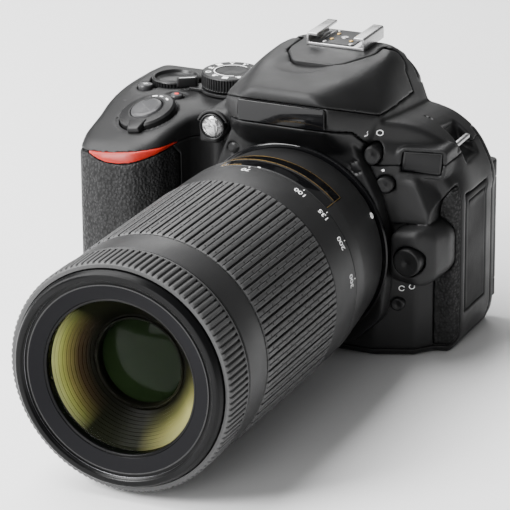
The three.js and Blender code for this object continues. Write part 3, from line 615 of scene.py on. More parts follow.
def surface(name, s, field, mat, body, stands_for=(), adaptivity=0.012):
    """Meshes the zero level of a field and keeps its largest connected part."""
    f = np.ascontiguousarray(np.broadcast_to(field, [len(a) for a in s.axes]), dtype=np.float32)
    f = np.clip(f, -3 * s.step, 3 * s.step)
    pad = np.pad(f, 1, constant_values=3 * s.step)
    grid = openvdb.FloatGrid(3 * s.step)
    grid.copyFromArray(pad)
    pts, tris, quads = grid.convertToPolygons(0.0, adaptivity)
    pts = (pts - 1) * s.step + s.lo
    me = bpy.data.meshes.new(name)
    faces = np.concatenate([tris.reshape(-1), quads.reshape(-1)]).astype(np.int32)
    counts = np.concatenate([np.full(len(tris), 3), np.full(len(quads), 4)]).astype(np.int32)
    me.vertices.add(len(pts))
    me.vertices.foreach_set("co", (pts * MM).astype(np.float32).ravel())
    me.loops.add(len(faces))
    me.loops.foreach_set("vertex_index", faces)
    me.polygons.add(len(counts))
    me.polygons.foreach_set("loop_start", np.concatenate([[0], np.cumsum(counts)[:-1]]).astype(np.int32))
    me.update(calc_edges=True)
    me.validate()
    bm = bmesh.new()
    bm.from_mesh(me)
    seen, groups = set(), []
    bm.verts.ensure_lookup_table()
    for v in bm.verts:
        if v.index in seen:
            continue
        stack, group = [v], []
        seen.add(v.index)
        while stack:
            w = stack.pop()
            group.append(w)
            for e in w.link_edges:
                o = e.other_vert(w)
                if o.index not in seen:
                    seen.add(o.index)
                    stack.append(o)
        groups.append(group)
    groups.sort(key=len, reverse=True)
    drop = [v for g in groups[1:] for v in g]
    if drop:
        bmesh.ops.delete(bm, geom=drop, context="VERTS")
    if bm.calc_volume(signed=True) < 0:
        bmesh.ops.reverse_faces(bm, faces=bm.faces)
    for face in bm.faces:
        face.smooth = True
    bm.to_mesh(me)
    bm.free()
    return finish_piece(me, name, mat, body, stands_for)



# ---------------------------------------------------------------- the casing
# Outlines are lists of corners (u, v, radius); hulls are lists of points (x, y, z).
G = 0.14  # width of a seam between two covers
POCKET = 1.3  # depth of the bed under a rubber skin
SWELL_GAP = 0.25  # round the swelling of the lens release
MOUNT_BORE = 30.6  # radius of the opening behind the lens
BASE_TOP_Z = 2.6
TOP_SEAM_Z = 65.4
FRONT_OUTLINE = [
    (-72, 0, 3), (47, 0, 2), (52.6, 9, 5), (52.6, 51.5, 7), (44.5, 62.4, 6), (35, 69.9, 6), (25, 72.4, 3),
    (-26, 73.8, 2), (-69.6, 73.8, 3), (-74.6, 71.5, 3), (-76, 60, 4), (-76, 8, 6),
]
PLAN_OUTLINE = [
    (-75, 2, 5), (-75, -30, 3), (-60, -32, 3), (-32, -32, 4), (-25, -39.6, 4), (26, -39.6, 4), (38.5, -34.6, 3),
    (43, -28.8, 3), (48, -27.6, 3), (50.5, -23, 4), (50.5, 5, 3), (47.5, 8, 4), (-69, 8, 5),
]
GRIP_OUTLINE = [
    (-75, -6, 0), (-75, -44, 8), (-71.8, -53.7, 8), (-62, -58, 7), (-52, -57.6, 8), (-44.5, -50.5, 9),
    (-39.5, -38, 8), (-34, -28, 3), (-34, -6, 0),
]
GRIP_SIDE = [
    (-55.5, 0, 4), (0, 0, 0), (0, 82.5, 0), (-45, 74, 6), (-53.5, 66, 7), (-58.3, 60, 7), (-58.6, 30, 10),
]
HUMP_HALF = [
    (15, -54, 88), (16.2, -54, 79.4), (15, -52.4, 77.6), (17, -46, 74), (24, -41, 71), (28.6, -36.5, 81.4),
    (19.8, -24, 92.2), (20.2, -7, 92.6), (15.5, 2, 92.6), (22.8, 7.6, 84), (27, 7.6, 71), (20, -36, 60),
    (24, 6, 60),
]
SHOULDER = [
    (10, -38, 79.5), (27, -38, 80.2), (34.5, -33.5, 78.6), (41.5, -29.5, 74.8), (45.4, -25.5, 70.6),
    (48, -22, 66), (50.3, -20, 58), (10, 5, 74), (33, 6, 73), (41.4, 5.4, 69), (45.5, 5, 65.6),
    (47.8, 5, 62.2), (50.3, 4, 57), (27, -36, 52), (43, -27, 52), (50.3, -20, 50), (50.3, 4, 50), (27, 6, 52),
]
RING_AT = np.array([-55, -36.6, 70.9])  # foot and axis of the shutter button, on its tilted facet
RING_UP = np.array([-0.17, -0.28, 0.94])
RING_UP = RING_UP / np.linalg.norm(RING_UP)
RING_LEAN = Vector((0, 0, 1)).rotation_difference(Vector(RING_UP))
TO_RING = Matrix.Translation(RING_AT) @ RING_LEAN.to_matrix().to_4x4()
LAMP_FRONT = [(-34, 66, 0), (-27.6, 66, 0), (-23.4, 72, 0), (-20, 78.4, 2), (-30, 78, 4), (-34.4, 73, 4)]
RELEASE_OUTLINE = [
    (33, -30, 0), (33, -43.6, 1), (42, -43.8, 4), (47, -39, 4), (49, -31, 3), (48.6, -26, 1), (40, -26, 0),
]
RELEASE_FRONT = [(30, 29, 0), (44, 27, 3), (52, 32, 4), (52, 42, 4), (44, 47, 3), (31, 45, 0)]
SIDE_RIDGE = [
    (38.3, -36.2, 61), (45, -37.6, 47.6), (30, -36.6, 61), (30, -38.4, 46), (41, -28, 61), (48, -28, 47),
    (30, -28, 61), (30, -28, 46),
]
BADGE = [(33.3, -35.4, 63.2), (34.1, -35.4, 70), (45.9, -30.4, 69.2), (45.2, -30.4, 61.5)]
EYEPIECE_FRONT = [(-19, 70, 1), (19, 70, 1), (17.5, 88.5, 4), (-17.5, 88.5, 4)]
STRAP_FRONT = [(41, 85, 0), (39, 71, 0), (41.6, 63.6, 2), (47, 61.8, 1), (60, 64, 0), (60, 85, 0)]
BATTERY_DOOR = [(-71, -8, 2), (-71, -48, 5), (-65, -54, 4), (-53, -54, 5), (-46.4, -45, 4), (-46.4, -8, 1)]
SHOE_BLOCK = [(-14.2, 20, 0), (-14.2, -17, 4), (-8.6, -25.8, 4), (7.4, -25.8, 6), (14.2, -12, 6), (14.2, 20, 0)]
FLASH_LINE = [(-60, 89.4), (-54.2, 87.4), (-36.5, 81.2), (-5.2, 79.4), (-5.2, 99), (-60, 99)]
PANEL_FRONT = [
    (-31, 16, 9), (-20, 5.5, 9), (20, 5.5, 9), (31, 16, 9), (33.2, 38, 8), (29, 56, 6), (23.6, 66.5, 3),
    (20.6, 74.6, 3), (-20.6, 74.6, 3), (-26.8, 60.5, 6), (-33.6, 44, 8), (-34, 34, 8),
]
HINGE_YZ = (-5.2, 89.6)  # of the flash head

# Centres of the controls: (x, z) on the front and rear, (x, y) on the top.
RELEASE_AT, TIMER_AT = (39.4, 36.2), (33.4, 18.6)
FN_AT, FLASH_BUTTON_AT, LAMP_AT = (29.4, 59.2), (25.7, 69.2), (-28.5, 72.4)
DIAL_AT, COMMAND_AT = (-37, -10.4), (-58.5, -8.5)
TOP_BUTTONS = {"exposure_button": (-65.4, -17.4, 2.5), "movie_button": (-51.5, -22.6, 2.3)}
SELECTOR_AT = (-53, 34)
REAR_BUTTONS = {
    "menu_button": (27.5, 62.2), "playback_button": (-41.5, 55), "zoom_in_button": (-45, 13.5),
    "zoom_out_button": (-54, 13.5), "delete_button": (-63, 13.5),
}


def mirrored(points):
    """Points and their mirror images on the other side of the lens axis."""
    return [(sx * x, y, z) for x, y, z in points for sx in (1, -1)]


def ring_frame(s):
    """Coordinates of the grid in the shutter button's tilted frame."""
    m = np.array(TO_RING.to_3x3())
    x, y, z = s.x - RING_AT[0], s.y - RING_AT[1], s.z - RING_AT[2]
    return [np.float32(m[0][k]) * x + np.float32(m[1][k]) * y + np.float32(m[2][k]) * z for k in range(3)]


def casing(s):
    """The smooth outer form of the body, without its smaller swellings and hollows."""
    front = in_xz(s, FRONT_OUTLINE)
    block = in_xy(s, PLAN_OUTLINE)
    grip = smax(in_xy(s, GRIP_OUTLINE), in_yz(s, GRIP_SIDE), 5)
    main = smax(smax(smin(block, grip, 7), front, 3.0), ring_frame(s)[2] - 0.3, 3.4)
    hump = convex(s, mirrored(HUMP_HALF), 2.6)
    shoulder = convex(s, SHOULDER, 2.2)
    return smin(smin(main, shoulder, 2.5), hump, 1.2)


def release_swell(s, grow=0.0):
    return smax(in_xy(s, RELEASE_OUTLINE), in_xz(s, RELEASE_FRONT), 3.5) - grow


def lamp_housing(s, grow=0.0):
    f = smax(in_xz(s, LAMP_FRONT), -43 - s.y, 2.5)
    return smax(f, s.y + 16, 0.5) - grow


def badge_block(s, grow, out=0.0, depth=3.0):
    """A block behind the badge plate's face."""
    bl, tl, tr, br = [np.array(p, float) for p in BADGE]
    n = np.cross(tr - tl, bl - tl)
    n = n / np.linalg.norm(n)
    if n[1] > 0:
        n = -n
    x, y, z = s.x - tl[0], s.y - tl[1], s.z - tl[2]
    face = np.float32(n[0]) * x + np.float32(n[1]) * y + np.float32(n[2]) * z
    edge = in_xz(s, fillet([(p[0], p[2]) for p in (bl, tl, tr, br)], 0.8)) - grow
    return smax(smax(edge, face - out, 0.5), -face - depth, 0.3)


def dial_room(s, grow=0.0):
    return smax(rod(s, 10.8 + grow, "z", -37, -10.4), 73.5 - grow - s.z, 0.4)


def strap_recess(s, grow=0.0):
    return both(in_xz(s, STRAP_FRONT) - grow, -16.4 - grow - s.y, s.y + 4.6 - grow, k=1.2)


def body_form(s):
    """The whole outer form, before it is cut into its covers."""
    f = casing(s)
    f = smin(f, smax(release_swell(s), casing(s) - 12, 1), 0.8)
    f = smin(f, both(in_xz(s, EYEPIECE_FRONT), s.y - 9.6, -s.y, k=1.5), 1.5)
    f = smin(f, lamp_housing(s), 1.0)
    f = smin(f, convex(s, SIDE_RIDGE, 1.2), 0.8)
    f = smin(f, badge_block(s, 1.35, 0.75, 8), 0.7)
    monitor_bay = slab(s, -33, 60, 4.6, 40, 6.6, 57)
    return less_all(f, (dial_room(s), 0.6), (strap_recess(s), 0.9), (monitor_bay, 0.5))


def cavity(s):
    """The hollow inside, kept clear of every recess by the wall."""
    walled = [
        slab(s, -35, 60, 2.7, 40, 4.7, 59),  # monitor
        slab(s, 46.2, 60, -24, -1.6, 10.6, 55.4),  # connector cover
        slab(s, -80, -69.8, -23.4, -1.6, 13.6, 57.4),  # card door
        slab(s, -20, 20, -60, -50.4, 70, 92),  # name band
    ]
    f = casing(s) + WALL
    for solid in [dial_room(s, WALL), strap_recess(s, WALL)] + walled:
        f = less(f, solid)
    return f


def blade_top(s):
    """Height of the accent's upper edge across the grip."""
    u = np.clip((s.x + 55.5) / 14.6, -1.3, 1.2)
    return 62.95 + 1.85 * u + 0.3 * u * u


def seam_height(s):
    """The seam of the top cover: level, but down to the accent on the grip."""
    t = np.clip((s.x + 42) / 8, 0, 1)
    t = t * t * (3 - 2 * t)
    return (blade_top(s) + 0.28) * (1 - t) + TOP_SEAM_Z * t


# A zone is the space that one cover or skin takes. It grows by g, to leave the seam.
def top_zone(s, g=0.0):
    return seam_height(s) - g - s.z


def rear_zone(s, g=0.0):
    low = both(1.4 - g - s.y, s.z - 67.6 - g, k=0.2)
    high = both(np.abs(s.x) - 23.4 - g, 3.4 - g - s.y, s.z - 89.6 - g, k=0.2)
    return np.minimum(low, high)


def base_zone(s, g=0.0):
    return s.z - BASE_TOP_Z - g


def port_zone(s, g=0.0):
    return slab(s, 48.7 - g, 60, -21.6 - g, -4 + g, 13 - g, 53 + g)


def card_zone(s, g=0.0):
    return slab(s, -90, -72.2 + g, -21 - g, -4 + g, 16 - g, 55 + g)


def grip_zone(s, g=0.0):
    edge = in_yz(s, [(-70, 3.4), (-24, 3.4, 2), (-24, 56, 4), (-34, 60, 4), (-42, 61, 4), (-48, 68), (-70, 68)])
    return both(edge - g, s.x + 41.5 - g, s.z - blade_low(s) + 0.25 - g, k=0.2)


def blade_low(s):
    u = np.abs(s.x + 54.9) / 13.4
    return blade_top(s) - 3.0 * (1 - np.minimum(u, 1.0) ** 2)


def accent_zone(s, g=0.0, lap=0.0):
    """A curved blade across the top of the grip, pointed at both ends."""
    low = blade_low(s)
    high = blade_top(s) + lap
    sides = both(s.x + 41.4, -68.4 - s.x, s.y + 42, k=0.5)
    return both(low - s.z - g, s.z - high - g, sides, k=0.2)


def side_zone(s, g=0.0):
    edge = in_xz(s, [(40, 3.4), (60, 3.4), (60, 60), (50, 59.5, 2), (44.2, 52, 4), (42.8, 30)])
    return both(edge - g, s.y + 24 - g, 42.6 - g - s.x, s.z - 59.5 - g, k=0.2)


def panel_crown(s, g=0.0):
    """The part of the mount panel that climbs the front of the hump."""
    half = [(27.7, 63.6, 2), (23.6, 72.6, 2.5), (20.8, 77.6, 1), (15.2, 79.2, 0)]
    edge = in_xz(s, [(28, 58)] + half + [(-x, z, r) for x, z, r in half[::-1]] + [(-28, 58)])
    return both(edge - g, s.y + 39, k=0.2)


def thumb_zone(s, g=0.0):
    edge = in_xz(s, [(-72, 44), (-58, 44, 4), (-52, 52, 4), (-50, 62, 3), (-72, 62)])
    return both(edge - g, 4 - s.y, k=0.2)


def shoe_block(s, grow=0.0):
    return in_xy(s, SHOE_BLOCK) - grow


def flash_space(s, g=0.0, rod_grow=0.0):
    line = in_yz(s, FLASH_LINE) - g
    hinge = rod(s, 2.8 + rod_grow, "x", *HINGE_YZ)
    return less(np.minimum(line, hinge), shoe_block(s, -g), 0.3)


def hole(s, r, axis, a, b, lo, hi, stretch=1.0):
    """A round hole along an axis from lo to hi."""
    along = {"x": s.x, "y": s.y, "z": s.z}[axis]
    return both(rod(s, r, axis, a, b, stretch), lo - along, along - hi, k=0.15)


def make_front():
    s = Space((-77, -60.5, -2), (52.5, 12, 68))
    skin = casing(s)
    f = smax(less(body_form(s), cavity(s)), s.z - (seam_height(s) - G), 0.3)
    for zone in (rear_zone(s, G), base_zone(s, G), rod(s, MOUNT_BORE, "y", 0, AXIS_Z)):
        f = less(f, zone)
    side = less(side_zone(s, G), release_swell(s, SWELL_GAP - G))
    for zone in (grip_zone(s, G), side, accent_zone(s, G)):
        f = less(f, smax(zone, -(skin + POCKET), 0.2), 0.25)
    hinge_relief = both(rod(s, 1.35, "z", -74, -3.65), 15.7 - s.z, s.z - 55.3, k=0.2)
    f = less_all(
        f, (port_zone(s, G), 0.25), (card_zone(s, G), 0.25), (hinge_relief, 0.2),
        (badge_block(s, 0.1, 3, 3.2), 0.2),
        (hole(s, 5.05, "y", *RELEASE_AT, -60, -30), 0.5), (hole(s, 2.95, "y", *FN_AT, -60, -30), 0.4),
    )
    surface("front_cover_shell", s, f, "shell", "camera_body", "front_cover")

    def patch(name, zone, mat, node_name, proud, k=0.5):
        p = both(smax(skin - proud, zone, k), -(skin + 1.1), k=0.2)
        surface(name, s, p, mat, "camera_body", node_name)

    grip = less_all(grip_zone(s), (accent_zone(s, G), 0.3), (card_zone(s, G + 0.2), 0.3))
    patch("grip_rubber_skin", grip, "rubber", "grip_rubber", 0.12)
    patch("side_rubber_skin", less(side_zone(s), release_swell(s, SWELL_GAP)), "rubber", "side_rubber", 0.1)
    patch("grip_accent_blade", accent_zone(s, 0, 0.5), "accent", "grip_accent", 0.22, 0.6)

    thumb_nick = both(rod(s, 7, "y", 56.9, 33), -2.6 - s.y, k=0.1)
    groove_out, groove_in = slab(s, 50.15, 60, -19.8, -6.0, 15.2, 50.8), slab(s, 49.9, 60, -19.4, -6.4, 15.6,
                                                                              50.4)
    groove = less(groove_out, groove_in, 0.1)
    door = less_all(both(skin, port_zone(s), k=0.45), (thumb_nick, 0.6), (groove, 0.15))
    surface("port_door_cover", s, door, "door_rubber", "port_door", "port_door")
    finger_groove = slab(s, -90, -73.3, -19.4, -17.2, 24, 47)
    card = less(both(skin, card_zone(s), k=0.45), finger_groove, 0.8)
    surface("card_door_cover", s, card, "shell", "card_door", "card_door")


def make_rear_cover():
    s = Space((-77, -2, -1), (52.5, 12, 91))
    skin = casing(s)
    f = smax(less(body_form(s), cavity(s)), rear_zone(s), 0.3)
    f = less(f, base_zone(s, G))
    for at in REAR_BUTTONS.values():
        f = less(f, hole(s, 3.0, "y", *at, 0, 20), 0.35)
    f = less_all(
        f, (hole(s, 10.1, "y", *SELECTOR_AT, 0, 20), 0.4), (slab(s, -9.4, 9.4, -2, 20, 73.6, 84.6), 0.6),
        (smax(thumb_zone(s, G), -(skin + POCKET), 0.2), 0.25),
    )
    for i in range(9):
        x, z = -38 + 2.1 * (i // 3), 61 + 2.1 * (i % 3)
        f = less(f, hole(s, 0.55, "y", x, z, 6.4, 20), 0.1)
    surface("rear_cover_shell", s, f, "shell", "camera_body", "rear_cover")
    thumb = both(smax(skin - 0.35, thumb_zone(s), 0.9), -(skin + 1.1), k=0.2)
    surface("thumb_rubber_skin", s, thumb, "rubber", "camera_body", "thumb_rubber")


def make_base():
    s = Space((-77, -60.5, -1.5), (52.5, 12, 5))
    pocket = in_xy(s, BATTERY_DOOR)
    f = smax(body_form(s), base_zone(s), 0.3)
    f = less_all(f, (pocket - 0.2, 0.3), (rod(s, 6.15, "z", 0, -22), 0.4))
    for x, y in ((-30, 3), (30, 3), (42, -18), (14, -34), (-34, -26)):
        f = less(f, hole(s, 2.0, "z", x, y, -5, 0.7), 0.4)
    surface("base_cover_plate", s, f, "shell", "camera_body", "base_cover")
    door = both(casing(s), pocket, 0.15 - s.z, s.z - 2.35, k=0.45)
    latch_edge = in_xy(s, [(-62, -47, 1.5), (-56, -47, 1.5), (-56, -38, 1.5), (-62, -38, 1.5)])
    latch = both(latch_edge, s.z - 0.75)
    surface("battery_door_cover", s, less(door, latch, 0.4), "shell", "battery_door", "battery_door")


def make_top_cover():
    s = Space((-77, -58.5, 60), (52.5, 12, 94))
    well = in_yz(s, FLASH_LINE) - 0.25
    f = smax(less(body_form(s), less(cavity(s), well - WALL)), top_zone(s), 0.3)
    hinge_room = less(rod(s, 3.5, "x", *HINGE_YZ), shoe_block(s, -0.15), 0.2)
    f = less_all(
        f, (rear_zone(s, G), 0.3), (flash_space(s, 0.16, 0.2), 0.25), (hinge_room, 0.2),
        (rod(s, MOUNT_BORE, "y", 0, AXIS_Z), 0.3),
    )
    ring_x, ring_y, ring_z = ring_frame(s)
    ring_r = np.sqrt(ring_x ** 2 + ring_y ** 2)
    f = less_all(
        f, (both(ring_r - 10.0, -1.2 - ring_z), 0.5), (both(np.abs(ring_r - 10.9) - 0.22, -0.25 - ring_z,
                                                            k=0.1), 0.2),
        (both(ring_r - 3.4, -12 - ring_z), 0.2), (both(rod(s, 8.6, "z", *COMMAND_AT), 70.6 - s.z), 0.6),
    )
    for x, y, r in TOP_BUTTONS.values():
        dish = both(rod(s, r + 1.5, "z", x, y), 73.1 - s.z)
        f = less_all(f, (dish, 1.0), (rod(s, r + 0.3, "z", x, y), 0.2))
    lamp_x, lamp_z = LAMP_AT
    lamp = np.sqrt((s.x - lamp_x) ** 2 + (s.z - lamp_z) ** 2)
    name_band = both(np.abs(s.x) - 15.1, 79.5 - s.z, s.z - 86.8, s.y + 52.7)
    f = less_all(
        f, (hole(s, 2.7, "y", *FLASH_BUTTON_AT, -60, -30, 1.35), 0.4),
        (both(lamp - 4.5, s.y + 40.6, k=0.2), 0.5),
        (name_band, 0.25), (badge_block(s, 0.1, 3, 3.2), 0.2),
        (smax(panel_crown(s, G), -(casing(s) + 0.9), 0.2), 0.25),
    )
    for dx in (0, 1.5):
        f = less(f, hole(s, 0.45, "z", 33.6 + dx, -15.3, 60, 99), 0.1)
    for i in range(6):
        x, y = -17.0 - 0.9 * (i % 2), 2.6 - 2.4 * (i // 2)
        f = less(f, hole(s, 0.5, "z", x, y, 74, 99), 0.1)
    surface("top_cover_shell", s, f, "shell", "camera_body", "top_cover")


def make_flash_head():
    s = Space((-31, -56, 76), (31, 0, 94))
    dimple = ((s.x + 4.0) / 13.0) ** 2 + ((s.y + 28.8) / 12.6) ** 2 + ((s.z - 94.9) / 4.3) ** 2
    body = less(body_form(s), (np.sqrt(dimple) - 1) * 4.4, 0.5)
    above_floor = in_yz(s, [(y, z + (WALL if z < 90 else 0)) for y, z in FLASH_LINE])
    hollow = both(above_floor, np.abs(s.x) - 12.6, s.y + 33, k=0.4)
    lower_edge = 81.2 - (s.y + 36.5) * 6.2 / 17.7
    window = both(np.abs(s.x) - 12.35, -49.6 - s.y, s.y + 38.4, s.z - lower_edge - 3, k=0.1)
    f = less_all(
        smax(body, flash_space(s), 0.35), (smax(hollow, casing(s) + WALL, 0.3), 0.3),
        (smax(window, casing(s) + 0.9, 0.2), 0.2),
    )
    surface("flash_head_shell", s, f, "shell", "flash_head", "flash_head")


def make_mount_panel():
    s = Space((-36, -55, 3), (36, -38, 81))
    skin = casing(s)
    edge = in_xz(s, PANEL_FRONT) - (s.y + 45.4) * 0.12
    f = less(both(edge, -45.4 - s.y, s.y + 39.9, k=0.9), skin - 0.15, 0.2)
    f = smin(f, both(panel_crown(s), skin - 0.3, -(skin + 0.7), 65.6 - s.z), 0.6)
    f = less_all(
        f, (rod(s, 30.4, "y", 0, AXIS_Z), 0.5), (release_swell(s, SWELL_GAP), 0.3),
        (lamp_housing(s, 0.25), 0.3),
    )
    for x, z in ((-20.5, 66.6), (22, 66)):
        screw = np.sqrt((s.x - x) ** 2 + (s.z - z) ** 2)
        f = less(f, both(np.abs(screw - 1.9) - 0.25, s.y + 44.8, k=0.1), 0.2)
    # the darker panel plastic paints the shade of the recess round the mount
    surface("mount_panel_plate", s, f, "panel", "camera_body", "mount_panel")


make_front()
make_rear_cover()
make_base()
make_top_cover()
make_flash_head()
make_mount_panel()


# ---------------------------------------------------------------- the lens
def on_lens(points):
    """(x, z', distance in front of the sensor) about the lens axis, in the part's frame."""
    return moved(points, LENS)


def lens_lathe(name, profile, mat, body, stands_for=(), rounding=0.2, sides=200, sharp=34):
    return lathe(name, profile, mat, body, sides, rounding, stands_for, sharp, LENS)


def ring_mesh(name, angles, stations, radius, inner, body, stands_for):
    """A rubber ring whose outside follows radius(i, k) over angles and stations, closed by a plain bore."""
    verts, faces = [], []
    for i, a in enumerate(angles):
        outline = [(radius(i, k), h) for k, h in enumerate(stations)] + [(inner, stations[-1]),
                                                                         (inner, stations[0])]
        verts += [(r * math.cos(a), r * math.sin(a), h) for r, h in outline]
    w = len(stations) + 2
    for i in range(len(angles)):
        j = (i + 1) % len(angles)
        for k in range(w):
            q = (k + 1) % w
            faces.append((i * w + k, j * w + k, j * w + q, i * w + q))
    finish_piece(mesh_of(name, on_lens(verts), faces), name, "lens_rubber", body, stands_for, 26)


def make_barrels():
    """The part of the barrel that stays on the camera, and the zoom ring's plain bands."""
    lens_lathe("rear_barrel_shell", [
        (30.3, 47.2), (31.9, 47.2), (32.25, 47.7), (32.6, 49.2), (33.1, 53), (33.9, 59), (34.9, 66.5),
        (35.3, 69.6),
        (35.35, 72.5), (35.35, 75.7), (34.9, 75.85), (31.7, 75.85), (31.7, 150), (30.3, 150), (30.3, 90),
        (20, 90),
        (20, 52), (30.3, 49.4),
    ], "barrel", "camera_body", "rear_barrel", 0.15)
    collar = [(29.95, 45.6), (33.3, 45.55), (33.7, 45.9), (33.75, 46.7), (33.3, 47.0), (29.95, 47.0)]
    lens_lathe("mount_collar", collar, "gloss", "camera_body", (), 0.15)
    lens_lathe("zoom_ring_shell", [
        (32, 76.1), (35.1, 76.1), (35.45, 76.4), (35.45, 91.2), (35.25, 91.6), (34.3, 91.6), (34.3, 142.8),
        (35.25, 142.8), (35.5, 143.2), (35.72, 155.1), (35.5, 155.5), (32, 155.5),
    ], "barrel", "zoom", "zoom_ring", 0.12)


def make_zoom_rubber():
    """Deep grooves along the axis, with two rows of short staggered notches between them."""
    outer, strips, pitch_y = 35.9, 60, 3.1
    pitch = 2 * math.pi * outer / strips
    half = pitch / 2
    right = [0.12, 0.3, 0.95, 1.0, half - 0.6, half - 0.42, half - 0.32, half - 0.16]
    across = [-half] + [-u for u in right[::-1]] + [0.0] + right
    around = [(i * pitch + u, u) for i in range(strips) for u in across]
    lo, hi = 92.15, 142.3
    count = int((hi - lo - 1.5) / pitch_y)
    first = lo + (hi - lo - (count - 1) * pitch_y) / 2
    stations = [(lo, None), (lo + 0.25, None), (lo + 0.5, None)]
    for c in range(count):
        y = first + c * pitch_y
        stations += [(y - 0.32, None), (y - 0.16, c), (y + 0.16, c), (y + 0.32, None)]
    stations += [(hi - 0.5, None), (hi - 0.25, None), (hi, None)]

    def groove(u):
        edge = half - abs(u)
        for reach, depth in ((0.2, 1.05), (0.36, 0.85), (0.46, 0.08)):
            if edge < reach:
                return depth
        return 0.3 if abs(u) < 0.05 else 0.2 if abs(u) < 0.2 else 0.0

    def radius(i, k):
        u, row = around[i][1], stations[k][1]
        depth = groove(u)
        if row is not None and (row % 2 == 0) == (u > 0) and 0.25 < abs(u) < 0.99:
            depth = 0.34
        from_end = min(k, len(stations) - 1 - k)
        on_strip = abs(u) < half - 0.36
        if from_end == 0:
            depth = max(depth, 0.5)
        elif from_end == 1:
            depth = max(depth, 0.14) if on_strip else 0.4
        elif from_end == 2 and not on_strip:
            depth = min(depth, 0.5)
        return outer - depth

    angles = [a / outer for a, _ in around]
    ring_mesh("zoom_rubber_grip", angles, [y for y, _ in stations], radius, 34.6, "zoom", "zoom_rubber")


def make_focus_ring():
    """Fine rounded ribs, each ending in a dark notch at the rear."""
    ribs = 116
    rib = [(0.0, 0.62), (0.1, 0.52), (0.24, 0.12), (0.38, 0.02), (0.5, 0.0), (0.62, 0.02), (0.76, 0.12),
           (0.9, 0.52)]
    around = [(2 * math.pi * (i + u) / ribs, depth) for i in range(ribs) for u, depth in rib]
    # distance, radius, and how deep the ribs cut there
    stations = [
        (156.35, 35.5, 0), (156.5, 35.82, 0), (157.05, 35.86, 0), (157.1, 35.6, 0), (157.75, 35.6, 0),
        (157.85, 35.9, 1.0), (158.5, 35.95, 1.0), (167.6, 35.95, 1.0), (168.2, 35.8, 0.8), (168.6, 35.45, 0.35),
        (168.8, 35.1, 0),
    ]

    def radius(i, k):
        depth = around[i][1]
        if k in (3, 4):
            return 35.86 - (0.95 if depth > 0.3 else 0.0)
        return stations[k][1] - depth * stations[k][2]

    distances = [row[0] for row in stations]
    ring_mesh("focus_ring_grip", [a for a, _ in around], distances, radius, 34.05, "focus", "focus_ring")


def make_front_barrel():
    """The sliding barrel with its filter thread, and the rings inside the rim."""
    profile = [
        (27.5, 100), (29.5, 100), (29.5, 155.9), (33.4, 156.05), (33.6, 156.4), (33.6, 168.9), (33.75, 169.2),
        (33.7, 169.6), (33.2, 170.8), (32.75, 171.35), (32.3, 171.5), (31.2, 171.5), (30.9, 171.25),
    ]
    for y in (171.0, 170.55):
        profile += [(30.75, y), (30.35, y - 0.22)]
    profile += [
        (30.6, 170.3), (30.3, 169.95), (29.5, 169.9), (29.4, 170.2), (29.0, 170.3), (24.9, 169.0),
        (24.5, 168.6),
        (24.5, 160.2), (27.5, 156),
    ]
    lens_lathe("front_barrel_shell", profile, "bezel", "front_group", "front_barrel", 0.05)
    for name, profile, mat, rounding in (
        ("front_name_ring", [(24.75, 169.05), (28.95, 170.32), (29.0, 170.22), (24.8, 168.9)], "name_ring", 0),
        ("front_bright_line", [(29.0, 170.26), (29.45, 170.22), (29.45, 170.34), (29.1, 170.42)], "barrel", 0),
        ("thread_bright_line", [(30.35, 170.0), (30.62, 170.35), (30.72, 170.3), (30.5, 169.96)], "dark_steel",
         0),
        ("lens_retaining_ring", [(23.7, 168.0), (24.7, 168.1), (24.75, 168.8), (24.45, 168.95), (23.9, 168.7)],
         "bezel", 0.08),
    ):
        lens_lathe(name, profile, mat, "front_group", (), rounding)


def make_glass():
    """The front element, and behind it the stepped tube and the rear elements."""
    edge_r, tube_r, top_y, back_y = 23.9, 13.4, 170.35, 165.5
    sweep = 1.2
    dome = []
    for t in np.linspace(0, sweep, 18):
        fall = 2.61 * (1 - math.cos(t)) / (1 - math.cos(sweep))
        dome.append((edge_r * math.sin(t) / math.sin(sweep), top_y - fall))
    back = [(edge_r, 166.9), (edge_r, 166.3), (0, 165.8)]
    lens_lathe("front_element", dome + back, "element", "front_group", "front_lens", 0, 128)
    steps = [(edge_r, back_y)]
    for k in range(11):
        r, y = edge_r - 0.82 * k - 0.62, back_y - 0.92 * k
        steps += [(r, y - 0.68), (r, y - 0.92)]
    well = [(14.6, 155.5), (14.3, 156.0), (13.8, 156.0), (13.5, 155.5), (tube_r, 150), (tube_r, 149.6),
            (edge_r, 149.6)]
    lens_lathe("stepped_baffle", steps + well, "baffle", "front_group", (), 0, 128, 20)
    inner = [(tube_r * k / 10, 155.3 - 2.1 * (k / 10) ** 2) for k in range(11)]
    lens_lathe("second_element", inner + [(tube_r, 150.2), (0, 150.2)], "deep_glass", "front_group", (), 0, 96)


make_barrels()
make_zoom_rubber()
make_focus_ring()
make_front_barrel()
make_glass()


